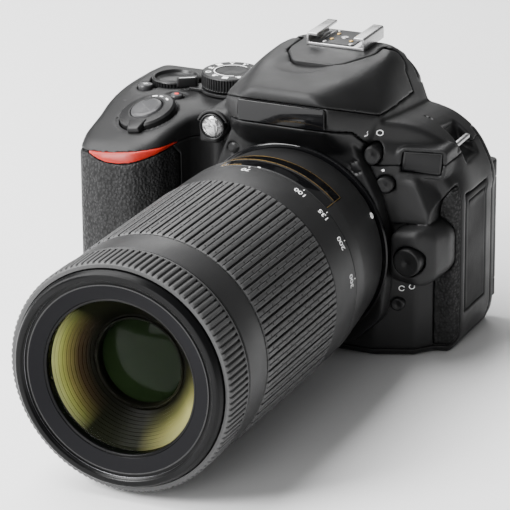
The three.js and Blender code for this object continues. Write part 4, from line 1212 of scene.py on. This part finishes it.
# ---------------------------------------------------------------- figures and marks on the lens
def lettering(name, text, size, mat, body, place, depth=0.03):
    """Raised figures, laid by place(u, v) from their flat outline."""
    cu = bpy.data.curves.new(name, "FONT")
    cu.body = text
    cu.size = size
    cu.align_x = "CENTER"
    cu.align_y = "CENTER"
    cu.offset = size * 0.012
    ob = bpy.data.objects.new(name + "_curve", cu)
    bpy.context.scene.collection.objects.link(ob)
    flat = bpy.data.meshes.new_from_object(ob.evaluated_get(bpy.context.evaluated_depsgraph_get()))
    bpy.data.objects.remove(ob)
    bm = bmesh.new()
    bm.from_mesh(flat)
    bmesh.ops.triangulate(bm, faces=bm.faces)
    long_edges = [e for e in bm.edges if e.calc_length() > size * 0.25]
    bmesh.ops.subdivide_edges(bm, edges=long_edges, cuts=2)
    top = bmesh.ops.extrude_face_region(bm, geom=bm.faces[:])
    raised = {v for v in top["geom"] if isinstance(v, bmesh.types.BMVert)}
    for v in bm.verts:
        p = place(v.co.x, v.co.y, depth if v in raised else -0.03)
        v.co = Vector(p) * MM
    bmesh.ops.recalc_face_normals(bm, faces=bm.faces)
    me = bpy.data.meshes.new(name)
    bm.to_mesh(me)
    bm.free()
    return finish_piece(me, name, mat, body)


def around_lens(degrees, distance, radius, slope=0.0):
    """Places flat figures on the barrel. Their tops point to the front and they read from the rear."""
    def place(u, v, lift):
        a = math.radians(degrees) + u / radius
        r = radius + slope * v + lift
        return on_lens([(r * math.cos(a), r * math.sin(a), distance + v)])[0]
    return place


def band_patch(name, a0, a1, h0, h1, radius_of, mat, body, lift=0.05, steps=40):
    """A thin raised patch that follows the barrel between two angles and two distances."""
    verts, faces = [], []
    hs = [h0, (h0 * 2 + h1) / 3, (h0 + h1 * 2) / 3, h1]
    for i in range(steps + 1):
        a = math.radians(a0 + (a1 - a0) * i / steps)
        for h in hs:
            for d in (-0.05, lift):
                r = radius_of(h) + d
                verts.append((r * math.cos(a), r * math.sin(a), h))
    w = len(hs) * 2
    for i in range(steps):
        for k in range(len(hs) - 1):
            for d in (0, 1):
                a, b = i * w + 2 * k + d, i * w + 2 * k + 2 + d
                faces.append((a, b, b + w, a + w))
        for k in (0, len(hs) - 1):
            a = i * w + 2 * k
            faces.append((a, a + 1, a + 1 + w, a + w))
    for i in (0, steps):
        for k in range(len(hs) - 1):
            a = i * w + 2 * k
            faces.append((a, a + 1, a + 3, a + 2))
    return finish_piece(mesh_of(name, on_lens(verts), faces), name, mat, body, (), 30)


def rear_radius(h):
    """Radius of the rear barrel at a distance in front of the sensor."""
    distances = [49.2, 53, 59, 66.5, 69.6, 72.5, 75.7]
    radii = [32.6, 33.1, 33.9, 34.9, 35.3, 35.35, 35.35]
    return float(np.interp(h, distances, radii))


def make_lens_marks():
    band_r = 35.45
    figures = {"70": 90.5, "100": 59.3, "135": 43.3, "200": 26.7, "300": 6.5}  # focal length: angle
    for text, angle in figures.items():
        lettering("scale_" + text, text, 3.0, "mark", "zoom", around_lens(angle, 79.3, band_r))
    for i, angle in enumerate(figures.values()):
        tick = (angle - 0.25, angle + 0.25, 76.5, 77.3)
        band_patch("scale_tick_%d" % i, *tick, lambda h: band_r, "mark", "zoom", 0.03, 2)
    # name, (angles, distances), look, height, steps: a blank strip with gold edges
    for name, area, mat, lift, steps in (
        ("scale_index", (85.4, 87.0, 74.6, 75.7), "mark", 0.04, 3),
        ("nameless_strip", (44.5, 108.5, 62.8, 75.2), "gloss", 0.05, 60),
        ("strip_gold_line", (46.0, 107.0, 68.7, 68.95), "gold", 0.09, 60),
        ("strip_gold_rear", (44.9, 108.1, 63.0, 63.25), "gold", 0.09, 60),
        ("strip_gold_front", (96.5, 108.1, 74.6, 74.9), "gold", 0.09, 16),
        ("strip_gold_end", (44.9, 45.3, 63.0, 74.9), "gold", 0.09, 2),
        ("strip_gold_end_left", (107.7, 108.1, 63.0, 74.9), "gold", 0.09, 2),
    ):
        band_patch(name, *area, rear_radius, mat, "camera_body", lift, steps)
    # mounting index: a white bead on the barrel beside the mount
    a = math.radians(26.5)
    at = on_lens([(32.5 * math.cos(a), 32.5 * math.sin(a), 49.4)])[0]
    bead = [(0, 0.55), (0.55, 0.5), (0.95, 0.3), (1.1, 0), (1.1, -0.6), (0, -0.6)]
    outward = Vector((0, 0, 1)).rotation_difference(Vector((math.cos(a), 0, math.sin(a))))
    place = Matrix.Translation(at) @ outward.to_matrix().to_4x4()
    lathe("mount_index_bead", bead, "mark", "camera_body", 32, 0, (), 40, place)


make_lens_marks()


# ---------------------------------------------------------------- controls
def knurled(name, profile, teeth, depth, lo, hi, body, at):
    """A turned part whose outer wall carries fine vertical ribs between two heights."""
    wave = [0.0, 0.25, 0.9, 1.0, 0.9, 0.25]
    sides = teeth * len(wave)
    prof = fillet(profile, 0.18, 3)
    outer = max(r for r, _ in prof)

    def wobble(a, r, h):
        if r < outer - 0.35 or h < lo or h > hi:
            return 0.0
        ease = min(1.0, (h - lo) / 0.35, (hi - h) / 0.35)
        k = int(round(a / (2 * math.pi) * sides)) % len(wave)
        return -depth * (1 - wave[k]) * ease
    lathe(name, prof, "control", body, sides, 0, body, 30, None, at, wobble)


def stack(r, lo, hi):
    """Points up an outer wall, so that ribs can fade at their ends."""
    middle = [(r, lo + (hi - lo) * i / 6) for i in range(1, 6)]
    return [(r, lo), (r, lo + 0.35)] + middle + [(r, hi - 0.35), (r, hi)]


def cap_profile(r, length, shoulder=0.18, ease=0.65):
    """A round button from its foot to the edge of its face."""
    return [(0, 0), (r, 0), (r, length - 0.6), (r - 0.22, length - shoulder), (r - ease, length)]


def flat_mark(name, outline, top, mat, body, height=0.05, place=None):
    block(name, outline, top - 0.1, top + height, "z", mat, body, 0, (), 30, place)


def rear_mark(name, outline, near, far, body):
    block(name, outline, near, far, "y", "mark", body, 0, (), 30)


def arc_band(cx, cy, r0, r1, a0, a1, n=24):
    t = np.radians(np.linspace(a0, a1, n))
    outer = [(cx + r1 * math.cos(x), cy + r1 * math.sin(x)) for x in t]
    inner = [(cx + r0 * math.cos(x), cy + r0 * math.sin(x)) for x in t[::-1]]
    return outer + inner


def convex_mesh(points, radius, segments=3):
    """(verts, faces) of a convex block with rounded edges."""
    bm = bmesh.new()
    for p in points:
        bm.verts.new(p)
    bmesh.ops.convex_hull(bm, input=bm.verts)
    bmesh.ops.dissolve_limit(bm, angle_limit=math.radians(2), verts=bm.verts, edges=bm.edges)
    bmesh.ops.bevel(bm, geom=bm.edges[:], offset=radius, segments=segments, affect="EDGES", profile=0.5,
                    clamp_overlap=True)
    bm.verts.index_update()
    verts = [tuple(v.co) for v in bm.verts]
    faces = [[v.index for v in f.verts] for f in bm.faces]
    bm.free()
    return verts, faces


def place_mesh(name, mesh, mat, body, place=None, stands_for=()):
    verts, faces = mesh
    finish_piece(mesh_of(name, moved(verts, place), faces), name, mat, body, stands_for, 34)


def prism(outline, lo, hi):
    """The corners of an upright prism, for convex_mesh."""
    return [(x, y, z) for x, y in outline for z in (lo, hi)]


def dial_sign(i, x, y, a):
    """The outlines of one generic sign on the mode dial: bars, a square, a ring, or a dot with a bar."""
    c, s = math.cos(a), math.sin(a)

    def box(hx, hy, ox=0.0):
        corners = ((-hx, -hy), (hx, -hy), (hx, hy), (-hx, hy))
        return [(x + c * (u + ox) - s * v, y + s * (u + ox) + c * v) for u, v in corners]
    if i < 4:
        return [box(1.0, 0.3), box(0.28, 0.8, 0.7)]
    if i in (4, 8):
        return [box(1.05, 0.95)]
    if i == 6:
        return [arc_band(x, y, 0.55, 0.95, 0, 345)]
    return [circle(0.6, 14, x, y), box(0.2, 1.0, -0.9)]


def make_mode_dial():
    mx, my = DIAL_AT
    wall = stack(10.15, 75.7, 79.8)
    top = [(9.9, 80.15), (9.5, 80.35), (5.6, 80.4), (5.2, 80.2), (2.5, 79.55), (0, 79.35)]
    profile = [(0, 75.3), (9.0, 75.3), (9.3, 75.5)] + wall + top
    knurled("mode_dial_cap", profile, 64, 0.4, 75.7, 79.9, "mode_dial", (mx, my, 0))
    flat_mark("dial_ring_mark", arc_band(mx, my, 5.75, 6.1, 60, 300), 80.38, "mark", "mode_dial")
    for i in range(11):
        a = 2 * math.pi * (i + 0.5) / 11
        for k, outline in enumerate(dial_sign(i, mx + 7.9 * math.cos(a), my + 7.9 * math.sin(a), a)):
            flat_mark("dial_mark_%d%s" % (i, "_b" * k), outline, 80.36, "mark", "mode_dial")
    flat_mark("dial_index", rect(-26.2, -24.9, -12.2, -11.0), 79.2, "mark", "camera_body")
    # the lever round the dial's foot, with a raised tab
    collar = [(2.9, 73.85), (10.3, 73.85), (10.5, 74.1), (10.4, 74.9), (2.9, 74.95)]
    lever = "live_view_lever"
    lathe("live_view_collar", collar, "control", lever, 96, 0.1, lever, 34, None, (mx, my, 0))
    foot = [(-45.2, -7.9), (-50.7, -14.3), (-49.7, -16.9), (-43.8, -17.2)]
    place_mesh("live_view_foot", convex_mesh(prism(foot, 73.9, 74.95), 0.2), "control", lever)
    tab = [(-47.7, -15.3), (-53.1, -18.5), (-54.1, -17.2), (-50.4, -13.0), (-48.5, -11.9)]
    place_mesh("live_view_tab", convex_mesh(prism(tab, 74.9, 77.95), 0.4), "control", lever)
    line = [(-52.7, -17.75), (-48.4, -15.2), (-48.6, -14.9), (-52.9, -17.45)]
    flat_mark("live_view_tab_line", line, 77.93, "mark", lever, 0.04)


def make_command_dial():
    """A dished top and a knurled rim."""
    top = [(7.85, 75.2), (7.5, 75.38), (7.1, 75.25), (6.6, 74.3), (5.4, 73.75), (0, 73.6)]
    profile = [(0, 71.0), (7.2, 71.0), (7.6, 71.3)] + stack(8.05, 71.6, 74.8) + top
    knurled("command_dial_cap", profile, 44, 0.45, 71.6, 74.85, "command_dial", (*COMMAND_AT, 0))


def make_shutter_and_power():
    """The power ring with its lever, and the shutter button, on the tilted facet."""
    ring = [(5.6, -0.8), (9.5, -0.8), (9.6, -0.6), (9.55, 1.3), (8.9, 2.0), (6.3, 2.35), (5.75, 2.3),
            (5.55, 2.0)]
    lathe("power_ring_cap", ring, "control", "power_ring", 128, 0.15, "power_ring", 34, TO_RING)
    tab = [(-3.4, -7.2, 0.4), (3.4, -7.2, 0.4), (-2.3, -11.9, 0.4), (2.3, -11.9, 0.4),
           (-3.2, -6.6, 2.6), (3.2, -6.6, 2.6), (-2.0, -11.7, 2.25), (2.0, -11.7, 2.25)]
    place_mesh("power_ring_lever", convex_mesh(tab, 0.45), "control", "power_ring", TO_RING)
    for i in range(3):
        half, y = 1.7 - 0.14 * i, -8.9 - 0.9 * i
        rib = rect(-half, half, y, y + 0.35)
        flat_mark("lever_rib_%d" % i, rib, 2.2 - 0.08 * i, "control", "power_ring", 0.22, TO_RING)
    flat_mark("power_index", circle(0.42, 12, -0.2, -7.1), 2.18, "mark", "power_ring", 0.1, TO_RING)
    for k, (a0, a1) in enumerate(((66, 76), (84, 98), (38, 50))):
        arc = arc_band(0, 0, 7.2, 7.7, a0, a1, 8)
        flat_mark("power_state_%d" % k, arc, 2.17, "mark", "power_ring", 0.09, TO_RING)
    cap = [(0, -0.2), (4.9, -0.2), (5.3, 0.2), (5.4, 2.1), (5.1, 2.7), (4.3, 3.05), (3.0, 2.95), (1.5, 2.82),
           (0, 2.78)]
    lathe("shutter_cap", cap, "shutter", "shutter_button", 96, 0.2, "shutter_button", 34, TO_RING)


def make_top_buttons():
    signs = {
        "exposure_button": (74.35, "mark", [rect(-0.9, 0.9, -0.12, 0.12), rect(-0.12, 0.12, -0.75, 0.75)]),
        "movie_button": (74.15, "red_mark", [circle(0.75, 20)]),
    }
    for name, (x, y, r) in TOP_BUTTONS.items():
        top, mat, outlines = signs[name]
        cap = [(0, 70.6), (r, 70.6), (r, top - 0.6), (r - 0.25, top - 0.15), (r - 0.7, top), (0, top + 0.04)]
        lathe(name + "_cap", cap, "button_top", name, 48, 0.12, name, 34, None, (x, y, 0))
        for k, outline in enumerate(outlines):
            sign = [(x + u, y + v) for u, v in outline]
            flat_mark(name + "_mark" + "_b" * k, sign, top + 0.02, mat, name, 0.03)


def facing(direction, at, stretch=1.0):
    """A frame whose +Z points to the front (-Y) or to the rear (+Y)."""
    turn = Matrix.Rotation(math.radians(90 if direction == "front" else -90), 4, "X")
    return Matrix.Translation(at) @ Matrix.Diagonal((1, 1, stretch, 1)) @ turn


def make_front_buttons():
    # centre, radius, face, foot, stretch, and how far the cap leans with the casing
    for name, (x, z), r, face, foot, stretch, lean in (
        ("flash_button", FLASH_BUTTON_AT, 2.45, -41.6, -36.4, 1.35, 0.3),
        ("fn_button", FN_AT, 2.75, -39.8, -34.6, 1, 0.34),
        ("timer_button", TIMER_AT, 2.3, -38, -33, 1, 0.2),
    ):
        at = Vector((x, foot, z))
        slope = Matrix.Identity(4)
        slope[1][0] = lean
        leaning = Matrix.Translation(at) @ slope @ Matrix.Translation(-at) @ facing("front", at, stretch)
        length = foot - face
        cap = cap_profile(r, length) + [(r * 0.4, length - 0.1), (0, length - 0.25)]
        lathe(name + "_cap", cap, "control", name, 56, 0.15, name, 34, leaning)
    cap = cap_profile(4.6, 8.4) + [(4.6 * 0.4, 8.2), (0, 7.9)]
    x, z = RELEASE_AT
    release = "lens_release_button"
    lathe("release_button_cap", cap, "control", release, 80, 0.25, release, 34, facing("front", (x, -37, z)))


def make_lamp():
    """The focus-assist lamp: a lens with radial facets inside a rim, under a hood."""
    x, z = LAMP_AT
    place = facing("front", (x, -41.35, z))
    lens = [(0, 0), (3.8, 0), (3.8, 2.3), (3.6, 2.7), (3.1, 3.1), (2.1, 3.45), (0, 3.65)]
    lathe("af_lamp_lens", lens, "lamp", "camera_body", 72, 0.1, "af_lamp", 34, place)
    rim = [(3.85, 2.2), (4.35, 2.2), (4.4, 2.9), (4.1, 3.2), (3.75, 2.9)]
    lathe("lamp_rim", rim, "control", "camera_body", 64, 0.1, (), 34, place)
    hood = arc_band(0, 0, 4.5, 5.6, 20, 165, 40)
    block("lamp_hood", hood, 1.6, 2.9, "z", "shell", "camera_body", 0.35, (), 34,
          facing("front", (x, -41.2, z)))


def make_blank_plates():
    """The name band and the badge, both without lettering."""
    band = rect(-14.85, 14.85, 79.75, 86.55, 0.5)
    block("name_band_plate", band, -53.95, -52.95, "y", "gloss", "camera_body", 0.2, "name_plate")
    corners = [np.array(p, float) for p in BADGE]
    mid = sum(corners) / 4
    n = np.cross(corners[2] - corners[1], corners[0] - corners[1])
    n = n / np.linalg.norm(n)
    if n[1] > 0:
        n = -n

    def plate(share, front, back):
        edge = [mid + (p - mid) * np.array(share) for p in corners]
        return [tuple(p - n * front) for p in edge] + [tuple(p - n * back) for p in edge]
    outer, inset = plate([0.985] * 3, 0.1, 1.6), plate([0.86, 0.86, 0.8], 0.06, 0.4)
    place_mesh("badge_plate_blank", convex_mesh(outer, 0.25), "gloss", "camera_body", None, "badge_plate")
    place_mesh("badge_inset", convex_mesh(inset, 0.08), "panel", "camera_body")


TREES = {}


def marks_front(name, outline, at, near):
    """A thin painted mark laid on the front of the casing by casting it onto the shell."""
    key = "front_cover_shell" if at[1] < TOP_SEAM_Z else "top_cover_shell"
    if key not in TREES:
        me = bpy.data.objects[key].data
        sides = [p.vertices[:] for p in me.polygons]
        TREES[key] = BVHTree.FromPolygons([v.co[:] for v in me.vertices], sides)
    verts = []
    for lift in (0.05, -0.1):
        for u, v in outline:
            p = Vector((at[0] + u, -70, at[1] + v)) * MM
            hit = TREES[key].ray_cast(p, Vector((0, 1, 0)))[0]
            y = hit.y / MM if hit else near
            verts.append((at[0] + u, y - lift, at[1] + v))
    n = len(outline)
    faces = [list(range(n)), list(range(n, 2 * n))[::-1]]
    faces += [[i, (i + 1) % n, n + (i + 1) % n, n + i] for i in range(n)]
    finish_piece(mesh_of(name, verts, faces), name, "mark", "camera_body", (), 30)


def make_front_marks():
    """Pictograms beside the buttons: a bolt, rings and a dot."""
    marks_front("bolt_mark_top", [(0.5, 1.7), (-0.45, -0.25), (0.3, -0.05)], (23.9, 75.6), -41.0)
    marks_front("bolt_mark_foot", [(0.45, 0.25), (-0.4, -1.7), (-0.3, 0.05)], (23.9, 75.6), -41.0)
    marks_front("flash_frame_mark", arc_band(0, 0, 0.75, 1.05, 0, 350, 20), (26.8, 75.6), -40.2)
    marks_front("timer_ring_mark", arc_band(0, 0, 0.7, 0.95, 20, 330, 20), (34.4, 23.8), -38)
    marks_front("timer_oval_mark", arc_band(0, 0, 0.65, 0.9, 0, 350, 20), (37.4, 24.4), -38)
    marks_front("fn_dot_mark", circle(0.45, 16), (28.6, 63.8), -39)


def rear_cap(r, length):
    return [(0, 0), (r, 0), (r, length - 0.55), (r - 0.2, length - 0.15), (r - 0.6, length), (0, length + 0.03)]


def make_rear_buttons():
    for name, (x, z) in REAR_BUTTONS.items():
        lathe(name + "_cap", rear_cap(2.7, 4.85), "control", name, 56, 0.12, name, 34,
              facing("rear", (x, 4, z)))
    glyphs = {
        "menu_button": [rect(-1.1, 1.1, -0.75, -0.5), rect(-1.1, 1.1, -0.12, 0.12), rect(-1.1, 1.1, 0.5, 0.75)],
        "playback_button": [[(-0.7, -0.9), (0.95, 0), (-0.7, 0.9)]],
        "zoom_in_button": [rect(-1.0, 1.0, -0.14, 0.14), rect(-0.14, 0.14, -1.0, 1.0)],
        "zoom_out_button": [rect(-1.0, 1.0, -0.14, 0.14)],
        "delete_button": [rect(-0.75, 0.75, -1.0, 0.55), rect(-1.0, 1.0, 0.75, 1.0)],
    }
    for name, shapes in glyphs.items():
        x, z = REAR_BUTTONS[name]
        for i, shape in enumerate(shapes):
            rear_mark(name + "_glyph_%d" % i, [(x - u, z + v) for u, v in shape], 8.8, 8.92, name)


def make_selector():
    x, z = SELECTOR_AT
    place = facing("rear", (x, 4.2, z))
    pad = [(4.15, 0), (9.55, 0), (9.55, 4.1), (9.2, 4.6), (8.5, 4.95), (7.0, 4.6), (5.2, 4.35), (4.4, 4.3),
           (4.15, 4.1)]
    lathe("multi_selector_pad", pad, "control", "multi_selector", 96, 0.15, "multi_selector", 34, place)
    for i in range(4):
        c, s = math.cos(math.pi / 2 * i), math.sin(math.pi / 2 * i)
        arrow = [(8.15, 0), (6.95, 0.75), (6.95, -0.75)]
        outline = [(x + c * u - s * v, z + s * u + c * v) for u, v in arrow]
        rear_mark("selector_arrow_%d" % i, outline, 8.75, 8.98, "multi_selector")
    lathe("ok_cap", rear_cap(3.7, 4.95), "control", "ok_button", 64, 0.15, "ok_button", 34, place)
    ok_glyphs = (arc_band(x + 1.0, z, 0.45, 0.7, 0, 350, 16), rect(x - 1.3, x - 1.0, z - 0.7, z + 0.7))
    for i, glyph in enumerate(ok_glyphs):
        rear_mark("ok_glyph_%d" % i, glyph, 9.1, 9.24, "ok_button")


def make_eyepiece():
    """A soft frame, wider at the rear, with a hollow that leads to the glass."""
    s = Space((-18, 9, 69), (18, 15, 90), 0.35)
    outer = in_xz(s, [(-16.5, 70.7, 4), (16.5, 70.7, 4), (15.5, 87.9, 6), (-15.5, 87.9, 6)])
    inner = in_xz(s, [(-9.6, 74, 2), (9.6, 74, 2), (9.6, 84.2, 3), (-9.6, 84.2, 3)])
    f = smax(outer + np.maximum(11.2 - s.y, 0) * 0.5, np.maximum(9.95 - s.y, s.y - 13.95), 1.4)
    f = less(f, inner - np.maximum(s.y - 11.4, 0) * 0.55, 0.9)
    surface("eyecup_frame", s, f, "eyecup", "camera_body", "eyecup", 0.01)
    glass = rect(-9.0, 9.0, 74.0, 84.2, 1.5)
    block("eyepiece_window", glass, 6.25, 7.6, "y", "screen", "camera_body", 0.2, "eyepiece_glass")
    block("eye_sensor", rect(-4, 4, 71.5, 72.9, 0.5), 9.0, 9.75, "y", "gloss", "camera_body", 0.15)


def make_monitor():
    """A bevelled case with a glossy face, and the hinge it swings on."""
    s = Space((-32, 4, 6), (50, 11.5, 58), 0.4)
    edge = in_xz(s, [(-30.9, 7.5, 4), (42.3, 7.5, 2), (42.3, 56.1, 2), (-30.9, 56.1, 4)])
    face = in_xz(s, [(-28, 10.3, 2.5), (39.5, 10.3, 1.2), (39.5, 53.3, 1.2), (-28, 53.3, 2.5)])
    pull = both(in_xz(s, rect(-29.8, -25, 27, 37, 1.5)), 5.6 - s.y, s.y - 5.0, k=0.1)
    f = less_all(
        both(edge, 5.05 - s.y, s.y - 10.55, k=1.2), (both(face, 9.0 - s.y, k=0.1), 0.3),
        (hole(s, 1.6, "x", 7.2, 31.8, 33, 60), 0.1), (pull, 0.3),
    )
    surface("monitor_case_shell", s, f, "shell", "monitor", "monitor_case")
    glass = rounded([(-27.8, 10.5, 2.3), (39.3, 10.5, 1.1), (39.3, 53.1, 1.1), (-27.8, 53.1, 2.3)])
    block("monitor_glass_face", glass, 9.2, 10.4, "y", "screen", "monitor", 0.2, "monitor_glass")
    block("monitor_active_area", rect(-25.5, 37.0, 12.6, 51.0), 10.36, 10.43, "y", "lcd", "monitor", 0)
    hinge = [
        (0, 8.1), (2.4, 8.1), (2.7, 8.4), (2.7, 13.6), (2.35, 13.8), (2.35, 14.2), (2.7, 14.4), (2.7, 49.2),
        (2.35, 49.4), (2.35, 49.8), (2.7, 50.0), (2.7, 55.1), (2.4, 55.5), (0, 55.5),
    ]
    at = (46.8, 7.8, 0)
    lathe("monitor_hinge_barrel", hinge, "shell", "monitor", 64, 0.15, "monitor_hinge", 34, None, at)
    block("monitor_hinge_leaf", rect(42.6, 46.8, 14.2, 49.4, 0.4), 5.1, 10.5, "y", "shell", "monitor", 0.6)


def make_shoe():
    """Folded sheet-metal rails with rounded bends, on a dark floor with contacts."""
    y0, y1 = -10.5, 6.1
    rail = [(9.35, 92.8), (10.15, 92.8), (10.15, 96.95, 0.75), (6.35, 96.95, 0.3), (6.35, 95.95, 0.3),
            (9.35, 95.95, 0.3)]
    for side, k in (("a", 1), ("b", -1)):
        outline = rounded([(k * corner[0], *corner[1:]) for corner in rail])
        block("shoe_rail_" + side, outline, y0, y1, "y", "steel", "camera_body", 0.18)
    floor = rect(-9.8, 9.8, y0, y1, 0.3)
    block("shoe_floor_plate", floor, 92.8, 93.65, "z", "steel", "camera_body", 0.12, "hot_shoe")
    spring = [(x, y, 93.6) for y in (-9.2, 4.5) for x in (-8.9, -6.9)]
    spring += [(x, y, 94.35) for y in (-3.6, -1.2) for x in (-8.7, -7.1)]
    verts, faces = convex_mesh(spring, 0.1)
    place_mesh("shoe_spring_a", (verts, faces), "steel", "camera_body")
    other = ([(-x, y, z) for x, y, z in verts], [f[::-1] for f in faces])
    place_mesh("shoe_spring_b", other, "steel", "camera_body")
    insulator = rounded([(-5.9, -9.8, 1), (5.9, -9.8, 1), (5.9, 5.2, 1), (-5.9, 5.2, 1)])
    block("shoe_insulator", insulator, 93.6, 93.95, "z", "panel", "camera_body", 0.12)
    contacts = ((0, -2.4, 1.35), (-3.4, -5.4, 0.75), (3.4, -5.4, 0.75), (-3.4, 0.6, 0.75), (3.4, 0.6, 0.75))
    for i, (x, y, r) in enumerate(contacts):
        profile = [(0, 93.9), (r, 93.9), (r, 94.1), (r - 0.2, 94.2), (0, 94.22)]
        mat = "gold" if i else "steel"
        lathe("shoe_contact_%d" % i, profile, mat, "camera_body", 28, 0.05, (), 40, None, (x, y, 0))
    screw = [(0, 93.9), (0.9, 93.9), (0.9, 94.05), (0.6, 94.2), (0.25, 94.2), (0.2, 94.05), (0, 94.05)]
    for i, (x, y) in enumerate(((-4.6, 3.9), (4.6, 3.9), (-4.6, -8.6), (4.6, -8.6))):
        lathe("shoe_screw_%d" % i, screw, "steel", "camera_body", 24, 0.03, (), 40, None, (x, y, 0))


def make_lugs():
    """The strap bar in its recess and, on the grip side, a plate with a slot."""
    bar = [(x, y, z) for x in (43.3, 45.1) for y in (-16.1, -4.9) for z in (66.3, 68.1)]
    place_mesh("strap_bar_right", convex_mesh(bar, 0.75, 4), "steel", "camera_body", None, "strap_lug_right")
    s = Space((-77, -22, 61), (-73.8, -12, 70.5), 0.2)
    plate = in_yz(s, [(-20.9, 62, 2.4), (-13.1, 62, 2.4), (-13.1, 69.4, 2.4), (-20.9, 69.4, 2.4)])
    slot = in_yz(s, [(-19, 63.9, 1.2), (-15, 63.9, 1.2), (-15, 67.5, 1.2), (-19, 67.5, 1.2)])
    f = less(both(plate, -76.15 - s.x, s.x + 74.2, k=0.5), slot, 0.4)
    surface("strap_lug_left_plate", s, f, "steel", "camera_body", "strap_lug_left", 0.01)


make_mode_dial()
make_command_dial()
make_shutter_and_power()
make_top_buttons()
make_front_buttons()
make_lamp()
make_blank_plates()
make_front_marks()
make_rear_buttons()
make_selector()
make_eyepiece()
make_monitor()
make_shoe()
make_lugs()


# ---------------------------------------------------------------- nodes that keep their CAD shape
LOOKS = {
    "flash_window": "window", "tripod_socket": "steel", "body_mount_ring": "steel", "mirror_box": "panel",
    "reflex_mirror": "mirror", "pentamirror": "mirror", "shutter_unit": "panel", "image_sensor": "screen",
    "main_board": "board", "battery": "battery", "lens_bayonet": "steel", "inner_lens_group": "deep_glass",
}
for name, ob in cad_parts.items():
    if ob.hide_render or ob.hide_get():
        continue
    look = LOOKS.get(name, "shell")
    for slot in ob.material_slots:
        slot.material = M[look]


# ---------------------------------------------------------------- stage, lights and camera
def stage():
    """A sheet of white paper under the object."""
    me = bpy.data.meshes.new("floor")
    me.from_pydata([(-6, -6, 0), (6, -6, 0), (6, 6, 0), (-6, 6, 0)], [], [(0, 1, 2, 3)])
    ob = bpy.data.objects.new("floor", me)
    bpy.context.scene.collection.objects.link(ob)
    m, nt, p = new_material("floor_paper", (0.86, 0.86, 0.86), 0.9)
    feed(nt, p, Base_Color=ramp(nt, noise(nt, 3, 2), [(0.3, (0.87, 0.87, 0.87)), (0.7, (0.89, 0.89, 0.89))]))
    me.materials.append(m)


def light(name, at, target, size, power, size_y=None):
    data = bpy.data.lights.new(name, "AREA")
    data.energy = power
    data.size = size
    if size_y:
        data.shape = "RECTANGLE"
        data.size_y = size_y
    ob = bpy.data.objects.new(name, data)
    bpy.context.scene.collection.objects.link(ob)
    ob.location = Vector(at) * MM
    direction = (Vector(target) - Vector(at)).normalized()
    ob.rotation_euler = direction.to_track_quat("-Z", "Y").to_euler()


def camera():
    """The camera of the photograph, as fitted to it."""
    azimuth, elevation, roll = math.radians(24.66), math.radians(20.76), math.radians(-0.39)
    target = Vector((-1.53, -70, 41.49))
    level = math.cos(elevation)
    back = Vector((math.sin(azimuth) * level, -math.cos(azimuth) * level, math.sin(elevation)))
    right = Vector((math.cos(azimuth), math.sin(azimuth), 0))
    up = back.cross(right)
    r = right * math.cos(roll) + up * math.sin(roll)
    u = up * math.cos(roll) - right * math.sin(roll)
    data = bpy.data.cameras.new("camera")
    data.lens = 240.7
    data.sensor_width = 36
    data.shift_x = -0.0015
    data.clip_end = 50
    ob = bpy.data.objects.new("camera", data)
    bpy.context.scene.collection.objects.link(ob)
    place = (target + back * 1072.25) * MM
    rows = [[column[k] for column in (r, u, back, place)] for k in range(3)]
    ob.matrix_world = Matrix(rows + [[0, 0, 0, 1]])
    bpy.context.scene.camera = ob


def surroundings():
    """A white world and five soft lamps: name, place, target, size, power."""
    world = bpy.data.worlds.new("studio")
    world.use_nodes = True
    world.node_tree.nodes["Background"].inputs["Color"].default_value = (1, 1, 1, 1)
    world.node_tree.nodes["Background"].inputs["Strength"].default_value = 0.23
    bpy.context.scene.world = world
    light("overhead", (-480, -120, 880), (-10, -60, 30), 0.8, 24)
    light("front_left", (-640, -900, 760), (0, -60, 40), 0.5, 30)
    light("back_rim", (-330, 640, 560), (0, -50, 80), 0.45, 2.6)
    light("left_strip", (-900, -150, 250), (-40, -40, 40), 0.25, 5, size_y=0.8)
    light("front_low", (-60, -1400, 420), (30, -30, 40), 0.7, 8)


stage()
surroundings()
camera()
